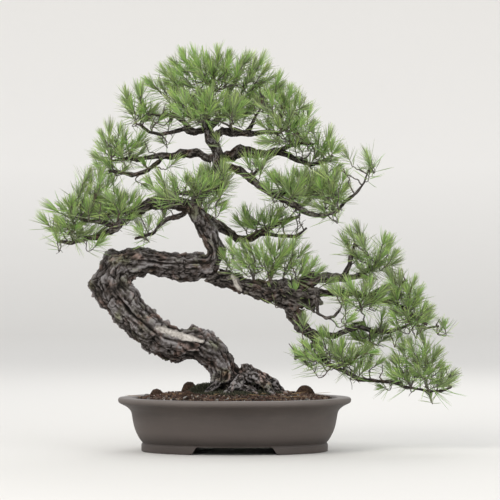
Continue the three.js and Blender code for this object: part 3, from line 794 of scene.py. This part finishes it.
def twig_lines(feet, parent, from_wood, ends):
    """The twigs as lines from the wood to each shoot's foot and up to its end, thicker towards the wood."""
    children = [[] for _ in feet]
    for child, up in enumerate(parent):
        if up >= 0:
            children[up].append(child)
    load = np.zeros(len(feet))

    def weigh(i):
        load[i] = 1 + sum(weigh(child) for child in children[i])
        return load[i]

    for i in np.flatnonzero(parent < 0):
        weigh(i)
    radius = TWIG_RADIUS * load**0.42
    lines = []
    for i in range(len(feet)):
        heavier = parent[i] >= 0 and max(children[parent[i]], key=lambda c: load[c]) == i
        if heavier:
            continue  # its line is part of the one that passes through its parent
        start = from_wood[i] if parent[i] < 0 else feet[parent[i]]
        line, thick = [start, feet[i]], [radius[i] * 1.25, radius[i]]
        at = i
        while children[at]:
            at = max(children[at], key=lambda c: load[c])
            line.append(feet[at])
            thick.append(radius[at])
        line.append(ends[at])
        thick.append(SHOOT_RADIUS)
        lines.append((np.array(line), np.array(thick)))
    for i in range(len(feet)):
        if children[i]:  # a foot that twigs pass through has its own short shoot
            middle = (feet[i] + ends[i]) / 2
            lines.append((np.array([feet[i], middle, ends[i]]), np.array([1.3, 1.15, 1.0]) * SHOOT_RADIUS))
    return lines


def contorted(line, thick, rng):
    """The line made crooked, as slow growth and wiring leave it, and its ends kept."""
    path, radii = smooth_line(line, thick, 6)
    bow = np.sin(np.linspace(0, math.pi, len(path)))[:, None] ** 0.5
    wander = noise_vectors(path, 15 * MM, 3, 7, 3)
    return path + (CROOKED * wander + rng.normal(0, 0.35 * MM, path.shape)) * bow, radii


def twiglets(path, radii, rng):
    """Short bare twigs on a twig: each leaves it at its own angle and may fork once."""
    lines = []
    for _ in range(rng.poisson(TWIGLETS_PER_M * np.linalg.norm(path[1:] - path[:-1], axis=1).sum())):
        at = rng.integers(1, len(path))
        way = unit(unit(path[at] - path[at - 1]) * 0.5 + rng.normal(0, 0.6, 3) + UP * 0.25)
        long = rng.uniform(7, 24) * MM
        bent = unit(way + rng.normal(0, 0.45, 3) + UP * 0.2)
        line = np.array([path[at], path[at] + way * long * 0.5, path[at] + (way + bent) * long * 0.5])
        thin = min(radii[at] * 0.7, 0.8 * MM)
        lines.append((line, np.array([thin, thin * 0.85, thin * 0.6])))
    return lines


def twig_piece(name, lines, rng):
    """All of one cloud's twigs as a piece, with bare twiglets on them."""
    parts = []
    for line, thick in lines:
        path, radii = contorted(line, thick, rng)
        parts.append(tube(path, radii))
        parts += [tube(*smooth_line(*short, 3), 5) for short in twiglets(path, radii, rng)]
    points, faces = joined(parts)
    mesh = mesh_from(name, points, faces)
    set_tint(mesh, [np.full(len(points), 0.84), rng.random(len(points)) * 0.5 + 0.2, np.zeros(len(points))])
    piece(name, mesh, BRANCH_BARK, "branch_bark")


# ---- needles ----
SHOOT = 26 * MM  # from a shoot's foot to the bud at its end
BUD_BELOW = 17 * MM  # from the middle of a tuft down to that bud
TUFT_SPACING = 26 * MM
TUFT_DEPTH = 4 * MM  # of a tuft's middle, below the skin of its cloud
NEEDLE_RINGS = np.array([0.0, 0.3, 0.65, 1.0])  # shares of its length
NEEDLE_WIDTH = np.array([0.46, 0.56, 0.50, 0.12]) * MM  # half its width at each ring
OLD_NEEDLE = 0.85  # the older ones' share of that width, shrunk as they dry
# Each year's needles in pairs: how many, where on the shoot they start (0 foot, 1 bud), how far they spread
# from its line in degrees, how long they are, how much they sag, their share of the tones and of the width.
NEW_YEAR = {
    "pairs": 17,
    "start": (0.72, 1.0),
    "spread": (27, 3),
    "length": (30, 43),
    "sag": 0.0,
    "tone": (0.53, 0.98),
    "width": 1.0,
}
OLD_YEAR = {
    "pairs": 9,
    "start": (0.0, 0.8),
    "spread": (80, 34),
    "length": (38, 56),
    "sag": 0.05,
    "tone": (0.0, 0.46),
    "width": OLD_NEEDLE,
}


def needles(bases, ways, bends, lengths, columns, width):
    """Slender three-sided needles as points, triangles and places on the map. Width is a share of theirs."""
    count, rings = len(bases), len(NEEDLE_RINGS)
    t = NEEDLE_RINGS[None, :, None]
    line = bases[:, None] + ways[:, None] * lengths[:, None, None] * t
    line = line + bends[:, None] * lengths[:, None, None] * t**2
    side = unit(np.cross(ways, UP + 0.01))
    other = np.cross(ways, side)
    turns = np.arange(3) * 2 * math.pi / 3
    out = side[:, None] * np.cos(turns)[None, :, None] + other[:, None] * np.sin(turns)[None, :, None]
    points = line[:, :, None] + out[:, None] * (width * NEEDLE_WIDTH)[None, :, None, None]
    faces = []
    for ring in range(rings - 1):
        for k in range(3):
            a, b = ring * 3 + k, ring * 3 + (k + 1) % 3
            faces += [(a, b, b + 3), (a, b + 3, a + 3)]
    faces += [(2, 1, 0), (rings * 3 - 3, rings * 3 - 2, rings * 3 - 1)]
    faces = np.array(faces)[None] + (np.arange(count) * rings * 3)[:, None, None]
    around = np.broadcast_to(np.array([0.0, 0.5, 1.0]), (count, rings, 3))
    along = np.broadcast_to(NEEDLE_RINGS[None, :, None], (count, rings, 3))
    places = column_places(columns[:, None, None], around, along)
    return points.reshape(-1, 3), faces.reshape(-1, 3), places.reshape(-1, 2)


GOLDEN_ANGLE = 2.39996  # from each pair to the next round a shoot
ANY_TURN = 6.28


def year_of_needles(feet, axes, sizes, year, rng):
    """One year's needles on every shoot, in pairs up it."""
    pairs = year["pairs"]
    up_shoot = np.tile(np.linspace(*year["start"], pairs), (len(feet), 1))
    share = (np.arange(pairs) + 0.5) / pairs
    turn = np.arange(pairs) * GOLDEN_ANGLE + rng.random((len(feet), 1)) * ANY_TURN
    low, high = year["spread"]
    spread = np.radians(low + (high - low) * share + rng.normal(0, 5, up_shoot.shape))
    side = unit(np.cross(axes, UP + 0.01))
    other = np.cross(axes, side)
    out = side[:, None] * np.cos(turn)[..., None] + other[:, None] * np.sin(turn)[..., None]
    way = unit(axes[:, None] * np.cos(spread)[..., None] + out * np.sin(spread)[..., None])
    base = feet[:, None] + axes[:, None] * (up_shoot * SHOOT * sizes[:, None])[..., None]
    long = rng.uniform(*year["length"], up_shoot.shape) * MM * sizes[:, None]
    bend = 0.07 * (axes[:, None] - way) - year["sag"] * UP + rng.normal(0, 0.03, way.shape)
    own = 0.55 * rng.random((len(feet), 1)) + 0.45 * rng.random(up_shoot.shape)
    low, high = year["tone"]
    made = []
    for _ in range(2):
        apart = unit(way + rng.normal(0, 0.06, way.shape))
        tone = low + (high - low) * np.clip(own + rng.normal(0, 0.05, own.shape), 0, 1)
        flat = [array.reshape(-1, 3) for array in (base, apart, bend)]
        lengths = long.ravel() * rng.uniform(0.93, 1, long.size)
        made.append(needles(*flat, lengths, np.floor(tone * COLUMNS).ravel(), year["width"]))
    return made


def needle_piece(name, buds, axes, sizes, rng, *replaced):
    """A tuft of needles round each shoot, as a piece."""
    feet = buds - axes * (SHOOT * sizes)[:, None]
    years = (NEW_YEAR, OLD_YEAR)
    made = [part for year in years for part in year_of_needles(feet, axes, sizes, year, rng)]
    points, faces = joined([part[:2] for part in made])
    places = np.concatenate([part[2] for part in made])
    mapped_piece(name, points, faces, places, NEEDLE, "needles", *replaced)


def cloud(node, wood_tree, seed):
    """One branch end's foliage: its twigs, and a tuft of needles on each. Returns its tufts' middles."""
    rng = np.random.default_rng(seed)
    middles = points_inside(node, TUFT_SPACING, TUFT_DEPTH, rng)
    low, high = box_of(node)
    rise = ((middles[:, 2] - low[2]) / (high[2] - low[2]))[:, None]
    outward = unit((middles - (low + high) / 2) * np.array([1.0, 1.0, 0.3]))
    axes = unit(outward * (0.85 - 0.45 * rise) + UP * (0.55 + 0.6 * rise) + rng.normal(0, 0.2, middles.shape))
    sizes = rng.uniform(0.70, 1.12, len(middles))
    buds = middles - axes * BUD_BELOW
    feet = buds - axes * (SHOOT * sizes)[:, None]
    parent, from_wood = grow_twigs(feet, wood_tree)
    name = node.replace("_needles", "")
    twig_piece(name + "_twigs", twig_lines(feet, parent, from_wood, buds), rng)
    needle_piece(name + "_needle_tufts", buds, axes, sizes, rng, node)
    return middles


SIDE_SHOOT_RADIUS = 5.5 * MM  # a branch thicker than this has none
SIDE_SHOOT_SPACING = 24 * MM
SIDE_SHOOT_RADII = np.array([1.7, 1.4, 1.1, 0.95]) * MM  # where it starts, elbow, foot and bud
SIDE_SHOOT_LEAFY = 0.72  # the share that has a tuft


def side_shoots(node, skin, middles, seed):
    """Short twigs along the thin part of a branch and at its end, most of them with a tuft, where no cloud
    has one: skin is the branch's points, normals and radii, and middles are the clouds' tufts."""
    rng = np.random.default_rng(seed)
    points, normals, radii = skin
    thin = np.flatnonzero(radii < SIDE_SHOOT_RADIUS)
    order = thin[np.argsort(radii[thin] + rng.uniform(0, 2.5 * MM, len(thin)))]
    chosen = []
    for i in order:
        if all(np.linalg.norm(points[i] - points[j]) > SIDE_SHOOT_SPACING for j in chosen):
            chosen.append(i)
    start = points[chosen] - normals[chosen] * 0.8 * MM
    axes = unit(normals[chosen] * 0.55 + UP * 0.75 + rng.normal(0, 0.3, start.shape))
    sizes = rng.uniform(0.62, 1.0, len(start))
    ways = unit(normals[chosen] + UP * 0.4 + rng.normal(0, 0.3, start.shape))
    feet = start + ways * rng.uniform(6 * MM, 40 * MM, (len(start), 1))
    buds = feet + axes * (SHOOT * sizes)[:, None]
    elbow = (start + feet) / 2 + rng.normal(0, 2.5 * MM, start.shape)
    lines = [(np.array(corners), SIDE_SHOOT_RADII) for corners in zip(start, elbow, feet, buds)]
    free = np.array([np.linalg.norm(middles - bud, axis=1).min() >= 0.8 * TUFT_SPACING for bud in buds])
    leafy = (rng.random(len(start)) < SIDE_SHOOT_LEAFY) & free
    twig_piece(node + "_side_twigs", lines, rng)
    if leafy.any():
        needle_piece(node + "_side_tufts", buds[leafy], axes[leafy], sizes[leafy], rng)


# ---- pot ----
FOOT_TOP = 17 * MM
FLOOR = 28 * MM
FOOT_GAP_HALF = 92 * MM
FOOT_GAP_SLOPE = 14 * MM  # along which the foot rises to its gap's full height
DRAIN_X = 95 * MM
DRAIN_RADIUS = 13 * MM
DRILL_SIDES = 48
RIM_OUT = 34.5 * MM  # how far the rim stands out from the reference oval
# (offset from the reference oval, height) in mm, from under the floor, out and up, and back in.
POT_PROFILE = [
    (-40.5, 17), (-40.5, 12), (-40.5, 1.5), (-39, 0), (-28, 0), (-17, 0), (-15.5, 1.5), (-15.5, 9),
    (-15.5, 16), (-18, 18), (-17.5, 19.5), (-15, 22.5), (-11.5, 27), (-7.5, 34), (-1.5, 47), (2.5, 63),
    (5, 79), (6.5, 85), (9.5, 90), (17, 96.5), (27, 101.5), (32.5, 104), (34.5, 107.5), (34.5, 112),
    (32.5, 115), (28.5, 116), (18, 116), (6.5, 116), (4, 114.5), (1.5, 111), (-1, 105), (-4, 95), (-10, 60),
    (-16, 36), (-20, 30), (-26, 28),
]
POT_AROUND = 480


def cut_corners(line, rounds):
    """The line with its corners rounded by cutting them, over and over; its ends stay."""
    for _ in range(rounds):
        early = 0.75 * line[:-1] + 0.25 * line[1:]
        late = 0.25 * line[:-1] + 0.75 * line[1:]
        line = np.concatenate([line[:1], np.stack([early, late], axis=1).reshape(-1, 2), line[-1:]])
    return line


def oval_ring(offset, turns):
    """Points round the pot's reference oval, moved out square to it by offset."""
    long, wide = (pot_high[:2] - pot_low[:2]) / 2 - RIM_OUT
    cos, sin = np.cos(turns), np.sin(turns)
    steep = np.hypot(wide * cos, long * sin)
    x = long * cos + offset * wide * cos / steep
    y = wide * sin + offset * long * sin / steep
    return np.stack([x, y], axis=-1)


def pot():
    """The pot as one skin swept round its oval, with the foot lifted over its two gaps, and drilled."""
    profile = cut_corners(np.array(POT_PROFILE) * MM, 2)
    turns = turns_of(POT_AROUND)
    rings = []
    for offset, height in profile:
        flat = oval_ring(offset, turns)
        gap = 1 - smoothstep(np.abs(flat[:, 0]), FOOT_GAP_HALF - FOOT_GAP_SLOPE, FOOT_GAP_HALF)
        lift = 0.97 * FOOT_TOP * gap * max(0, 1 - height / FOOT_TOP)
        rings.append(np.column_stack([flat, height + lift]))
    last = (len(rings) - 1) * POT_AROUND
    points = np.concatenate([*rings, [[0, 0, profile[0][1]], [0, 0, profile[-1][1]]]])
    under, floor = len(points) - 2, len(points) - 1
    points[:, :2] += POT_CENTRE[:2]
    wobble = noise_at(points, 70 * MM, 2, 3) * 0.5 * MM
    points[:, 2] += wobble * (points[:, 2] > FLOOR) * smoothstep(points[:, 2], FLOOR, 0.6 * RIM_TOP)
    around = [(k, (k + 1) % POT_AROUND) for k in range(POT_AROUND)]
    lids = [(under, b, a) for a, b in around]
    lids += [(floor, a + last, b + last) for a, b in around]
    quads = ring_quads(len(rings), POT_AROUND).tolist()
    skin = bpy.data.meshes.new("oval_pot")
    skin.from_pydata(points.tolist(), [], quads + lids, shade_flat=False)
    made = piece("oval_pot", skin, clay_material(), "clay", "pot")
    for side in (-1, 1):
        drill_hole(made, POT_CENTRE[0] + side * DRAIN_X)


def drill_hole(made, x):
    """Cuts one drainage hole through the floor."""
    rings = [circle(x, DRAIN_RADIUS, height, DRILL_SIDES) for height in (0.0, FLOOR + 10 * MM)]
    lower, upper = list(range(DRILL_SIDES)), list(range(DRILL_SIDES, 2 * DRILL_SIDES))
    mesh = bpy.data.meshes.new("drill")
    walls = ring_quads(2, DRILL_SIDES).tolist()
    mesh.from_pydata(np.concatenate(rings).tolist(), [], [*walls, lower[::-1], upper])
    cutter = add_object("drill", mesh)
    cut = made.modifiers.new("hole", "BOOLEAN")
    cut.object = cutter
    cut.solver = "FAST"
    drilled = applied(made)
    made.modifiers.clear()
    made.data = drilled
    bpy.data.objects.remove(cutter)


# ---- soil and what lies on it ----
def icosphere(subdivisions, radius):
    """A ball's points and triangles."""
    made = bpy.data.meshes.new("ball")
    shape = bmesh.new()
    bmesh.ops.create_icosphere(shape, subdivisions=subdivisions, radius=radius)
    shape.to_mesh(made)
    shape.free()
    points = np.array([v.co for v in made.vertices])
    faces = np.array([list(f.vertices) for f in made.polygons])
    bpy.data.meshes.remove(made)
    return points, faces


def pebble(rng):
    """A rough stone about 1 across: points and triangles."""
    points, faces = icosphere(2, 0.5)
    return points * (1 + 0.35 * (rng.random(len(points)) - 0.5))[:, None], faces


ROOT_HALF = np.array([108 * MM, 96 * MM])  # how far the earth is uneven and mossy round the roots
ROOT_LUMPS = 4 * MM
trunk_points = node_triangles("trunk")[0]
ROOT_MIDDLE = trunk_points[trunk_points[:, 2] < trunk_points[:, 2].min() + 30 * MM].mean(axis=0)[:2]


def from_roots(points):
    """How far each point is from the middle of the roots, as a share of how far they go."""
    return np.linalg.norm((points[:, :2] - ROOT_MIDDLE) / ROOT_HALF, axis=1)


def heaped(points):
    """How much higher the earth is at each point, because it is uneven between the roots."""
    lumps = 0.5 + noise_at(points, 20 * MM, 2, 9)
    return ROOT_LUMPS * lumps * (1 - smoothstep(from_roots(points), 0.5, 1.0))


def soil_top(count, rng):
    """Scattered places on the soil's upper surface, lumps and all."""
    solid = node_bvh("soil")
    low, high = box_of("soil")
    found = []
    while len(found) < count:
        x, y = low[:2] + rng.random(2) * (high - low)[:2]
        hit, normal, _, _ = solid.ray_cast(Vector((x, y, 2 * high[2])), Vector((0, 0, -1)))
        if hit is not None and normal.z > 0.3 and hit.z > 0.75 * high[2]:
            found.append(tuple(hit))
    found = np.array(found)
    return found + np.outer(heaped(found), UP)


AMONG_ROOTS = 0.3  # the share of the grains there that the moss leaves bare


def grains(name, material, count, size, spread, seed):
    """Loose grains on the soil, fewer among the roots, of sizes round size, each turned its own way."""
    rng = np.random.default_rng(seed)
    kinds = [pebble(rng) for _ in range(6)]
    places = soil_top(count, rng)
    places = places[(from_roots(places) > 0.85) | (rng.random(count) < AMONG_ROOTS)]
    parts, maps = [], []
    for i, place in enumerate(places):
        points, faces = kinds[i % len(kinds)]
        turn = np.linalg.qr(rng.normal(size=(3, 3)))[0]
        turn *= np.sign(np.linalg.det(turn))
        scale = size * np.exp(spread * rng.normal()) * rng.uniform(0.75, 1.2, 3)
        seated = (points * scale) @ turn.T + place + UP * size * rng.uniform(-0.15, 0.35)
        parts.append((seated, faces))
        column = np.full(len(points), rng.integers(COLUMNS))
        maps.append(column_places(column, points[:, 0] + 0.5, points[:, 2] + 0.5))
    points, faces = joined(parts)
    mapped_piece(name, points, faces, np.clip(np.concatenate(maps), 0, 1), material, "soil")


def soil_bed():
    """The earth itself, uneven on top."""
    points, quads, normals = rounded_skin("soil", 4 * MM, 2)
    height = noise_at(points, 12 * MM, 3, 8) * 1.2 * MM - 0.8 * MM
    upper = (normals[:, 2] > 0.3) & (points[:, 2] > 0.8 * RIM_TOP)
    points = points + normals * (height * upper)[:, None] + np.outer(heaped(points) * upper, UP)
    mesh = mesh_from("soil_bed", points, quads)
    earth = crumb_material("earth", (0.014, 0.010, 0.008), (0.070, 0.050, 0.038), 5 * MM, 1.5)
    piece("soil_bed", mesh, earth, "soil", "soil")


def scattered(name, feet, ways, bends, lengths, material, slot, rng, width=1.0):
    """Needles or blades with their feet at these places, as a piece; lengths is their range in mm."""
    columns = rng.integers(0, COLUMNS, len(feet)).astype(float)
    long = rng.uniform(*lengths, len(feet)) * MM
    mapped_piece(name, *needles(feet, ways, bends, long, columns, width), material, slot)


def fallen_needles(count, seed):
    """Dry needles that lie on the soil."""
    rng = np.random.default_rng(seed)
    places = soil_top(count, rng) + UP * 2.5 * MM
    turn = rng.random(count) * 2 * math.pi
    ways = np.stack([np.cos(turn), np.sin(turn), rng.normal(0, 0.06, count)], axis=1)
    bends = rng.normal(0, 0.06, (count, 3)) * np.array([1, 1, 0.2])
    scattered("fallen_needles", places, unit(ways), bends, (28, 50), DRY_NEEDLE, "needles", rng)


MOST_BLADES = 5200  # on one cushion


def moss(node, seed):
    """A cushion of moss: its lumpy ground, and thousands of short blades."""
    rng = np.random.default_rng(seed)
    points, quads, normals = rounded_skin(node, 2 * MM, 4)
    points = points + normals * (noise_at(points, 16 * MM, 3, seed) * 2.2 * MM - 2 * MM)[:, None]
    ground = crumb_material(node + "_ground", (0.012, 0.017, 0.006), (0.045, 0.055, 0.018), 3 * MM, 1.5)
    piece(node + "_ground", mesh_from(node + "_ground", points, quads), ground, "moss", node)
    above = np.flatnonzero((normals[:, 2] > -0.1) & (points[:, 2] > 0.86 * RIM_TOP))
    chosen = rng.choice(above, min(MOST_BLADES, 3 * len(above)))
    start = points[chosen] + rng.normal(0, 0.7 * MM, (len(chosen), 3))
    ways = unit(normals[chosen] + UP * 0.5 + rng.normal(0, 0.35, start.shape))
    scattered(node + "_blades", start, ways, 0 * ways, (2.5, 6.0), MOSS_BLADE, "moss", rng)


def root_moss(count, seed):
    """Short dark moss on the uneven earth between the roots."""
    rng = np.random.default_rng(seed)
    places = soil_top(4 * count, rng)
    grows = (from_roots(places) < 0.98) & (noise_at(places, 20 * MM, 2, seed) > -0.5)
    places = places[grows][:count]
    ways = unit(UP + rng.normal(0, 0.45, places.shape))
    scattered("root_moss", places, ways, 0 * ways, (3, 7.5), MOSS_BLADE, "moss", rng, 1.4)


CAKE_SPREAD = 1.3  # a cake slumps this much wider than it was pressed
CAKE_HEIGHT = 33 * MM  # at least, with the part that is in the earth


def cake(node, material, seed):
    """A pressed dome of fertilizer, crumbling: a ball squared off a little and cut flat below."""
    low, high = box_of(node)
    points, faces = icosphere(6, 1)
    squared = np.sign(points) * np.abs(points) ** 0.86
    squared[:, 2] = np.where(points[:, 2] < 0, 0.06 * points[:, 2], squared[:, 2])
    half = np.array([*(high - low)[:2] / 2 * CAKE_SPREAD, max(high[2] - low[2], CAKE_HEIGHT)])
    places = np.array([*(low + high)[:2] / 2, low[2]]) + squared * half
    lumps = noise_at(places, 11 * MM, 4, seed) * 1.3 + noise_at(places, 2.6 * MM, 3, seed + 1) * 0.7
    mesh = mesh_from(node + "_cake", places + points * (lumps * MM)[:, None], faces)
    piece(node + "_cake", mesh, material, "fertilizer", node)


# ---- under the floor ----
SCREEN_BARS = 12  # each way


def drainage_screen(node, material):
    """A moulded mesh: two layers of round bars that cross, inside a thicker border."""
    low, high = box_of(node)
    centre, half = (low + high) / 2, (high - low) / 2
    bar = half[2] * 0.5
    parts = []
    for axis in (0, 1):
        for offset in np.linspace(-1, 1, SCREEN_BARS):
            ends = np.tile(centre, (2, 1))
            ends[:, 1 - axis] += offset * (half[1 - axis] - bar)
            ends[:, axis] += np.array([-1, 1]) * (half[axis] - bar)
            ends[:, 2] += (axis - 0.5) * 2 * bar * 0.8
            thick = bar * (1.15 if abs(offset) == 1 else 0.85)
            parts.append(tube(ends, np.array([thick, thick]), 8))
    piece(node + "_bars", mesh_from(node + "_bars", *joined(parts)), material, "screen_mesh", node)


def round_wire(node, material):
    """A wire that stays the CAD node: modifiers round its facets, and its own mesh is as it was."""
    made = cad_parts[node]
    weld = made.modifiers.new("weld", "WELD")
    weld.merge_threshold = 0.01 * MM
    made.modifiers.new("rounded", "SUBSURF").render_levels = 2
    made.data.materials.clear()
    made.data.materials.append(material)


# ---- the studio ----
VIEW_WIDTH = 1.075  # of what the camera takes in, at the pot
VIEW_DISTANCE = 6.0
VIEW_RIGHT = 0.033  # of the pot's middle
VIEW_HEIGHT = 0.432
SENSOR = 36.0


def camera():
    """Level, square to the pot's long side."""
    data = bpy.data.cameras.new("camera")
    data.sensor_width = SENSOR
    data.lens = SENSOR * VIEW_DISTANCE / VIEW_WIDTH
    data.clip_end = 100
    made = add_object("camera", data)
    made.location = (POT_CENTRE[0] + VIEW_RIGHT, POT_CENTRE[1] - VIEW_DISTANCE, VIEW_HEIGHT)
    made.rotation_euler = (math.radians(90), 0, 0)
    bpy.context.scene.camera = made


LAMPS_AIM = (0, 0, 0.45)


def lamp(name, place, size, power, colour):
    """A round soft lamp that faces the plant."""
    data = bpy.data.lights.new(name, "AREA")
    data.shape = "DISK"
    data.size = size
    data.energy = power
    data.color = colour
    made = add_object(name, data)
    made.location = place
    made.rotation_euler = (Vector(LAMPS_AIM) - Vector(place)).to_track_quat("-Z", "Y").to_euler()


BACKDROP_FLAT = 8.0  # radius of the level part, in metres
BACKDROP_SWEEP = 2.6  # radius of the curve up to the wall
BACKDROP_AROUND = 96
BACKDROP_MIDDLE = 2.0  # radius of the disc inside the first ring


def studio():
    """A pale bowl all round the plant, level under it and swept up to a low wall, open to a soft sky."""
    m = Nodes("studio_paper")
    height = m.add("SeparateXYZ", {"Vector": m.coordinates()}).outputs["Z"]
    risen = m.math("DIVIDE", height, BACKDROP_SWEEP)
    paper = m.ramp(risen, (0.0, (0.70, 0.685, 0.65)), (0.35, (0.90, 0.88, 0.84)))
    m.set(Base_Color=paper, Roughness=0.95, Specular_IOR_Level=0.1)
    climb = np.linspace(0, math.pi / 2, 17)
    radii = [BACKDROP_MIDDLE, *(BACKDROP_FLAT + BACKDROP_SWEEP * np.sin(climb))]
    heights = [0.0, *(BACKDROP_SWEEP * (1 - np.cos(climb)))]
    rings = [circle(0.0, radius, height, BACKDROP_AROUND) for radius, height in zip(radii, heights)]
    walls = ring_quads(len(rings), BACKDROP_AROUND).tolist()
    level = list(range(BACKDROP_AROUND))
    mesh = bpy.data.meshes.new("backdrop")
    mesh.from_pydata(np.concatenate(rings).tolist(), [], [level, *walls], shade_flat=False)
    mesh.polygons[0].use_smooth = False
    mesh.materials.append(m.material)
    backdrop = add_object("backdrop", mesh)
    lamp("key", (-1.9, -2.6, 3.0), 2.2, 62, (1.0, 0.97, 0.93))
    lamp("fill", (2.8, -2.4, 1.6), 2.6, 24, (0.95, 0.98, 1.0))
    lamp("back", (0.6, 2.8, 2.6), 2.2, 26, (1.0, 1.0, 1.0))
    world = bpy.data.worlds.new("world")
    world.use_nodes = True
    sky = world.node_tree.nodes["Background"]
    sky.inputs["Color"].default_value = (0.96, 0.97, 1.0, 1)
    sky.inputs["Strength"].default_value = 1.0
    bpy.context.scene.world = world
    bpy.context.scene.view_settings.view_transform = "Standard"


# ---- the whole plant ----
camera()
studio()
pot()
soil_bed()
grains("lava_grains", LAVA, count=2300, size=4.6 * MM, spread=0.22, seed=11)
grains("tan_clay_grains", AKADAMA, count=1500, size=3.8 * MM, spread=0.25, seed=12)
grains("grey_grit", GRIT, count=700, size=3.2 * MM, spread=0.3, seed=13)
fallen_needles(count=100, seed=14)
for number, name in enumerate(CUSHIONS):
    moss(name, 20 + number)
root_moss(count=9500, seed=28)
cake_material = crumb_material("pressed_cake", (0.018, 0.011, 0.008), (0.085, 0.050, 0.032), 3 * MM, 0.8)
for number, name in enumerate(CAKES):
    cake(name, cake_material, 30 + number)
screen_material = plain_material("moulded_plastic", (0.012, 0.012, 0.012), (0.030, 0.030, 0.029), 300, 0.5)
wire_material = plain_material("anodised_wire", (0.16, 0.085, 0.05), (0.30, 0.17, 0.11), 200, 0.32, 0.9)
for side in ("left", "right"):
    drainage_screen("drainage_screen_" + side, screen_material)
    round_wire("screen_clip_" + side, wire_material)
round_wire("anchor_wire", wire_material)

skins = {"trunk": wood("trunk", TRUNK_BARK, "trunk_bark", voxel=2.0 * MM, reach=50 * MM, seed=40)}
for number, name in enumerate(BRANCHES):
    voxel, reach = (1.4 * MM, 38 * MM) if name == "cascade_limb" else (1.25 * MM, 20 * MM)
    skins[name] = wood(name, BRANCH_BARK, "branch_bark", voxel, reach, 50 + 5 * number)
wood_tree = kd_tree(np.concatenate([points[::10] for points, _, _ in skins.values()]))
middles = np.concatenate([cloud(name, wood_tree, 200 + number) for number, name in enumerate(CLOUDS)])
for number, name in enumerate(BRANCHES):
    if name != "cascade_limb":
        side_shoots(name, skins[name], middles, 300 + number)
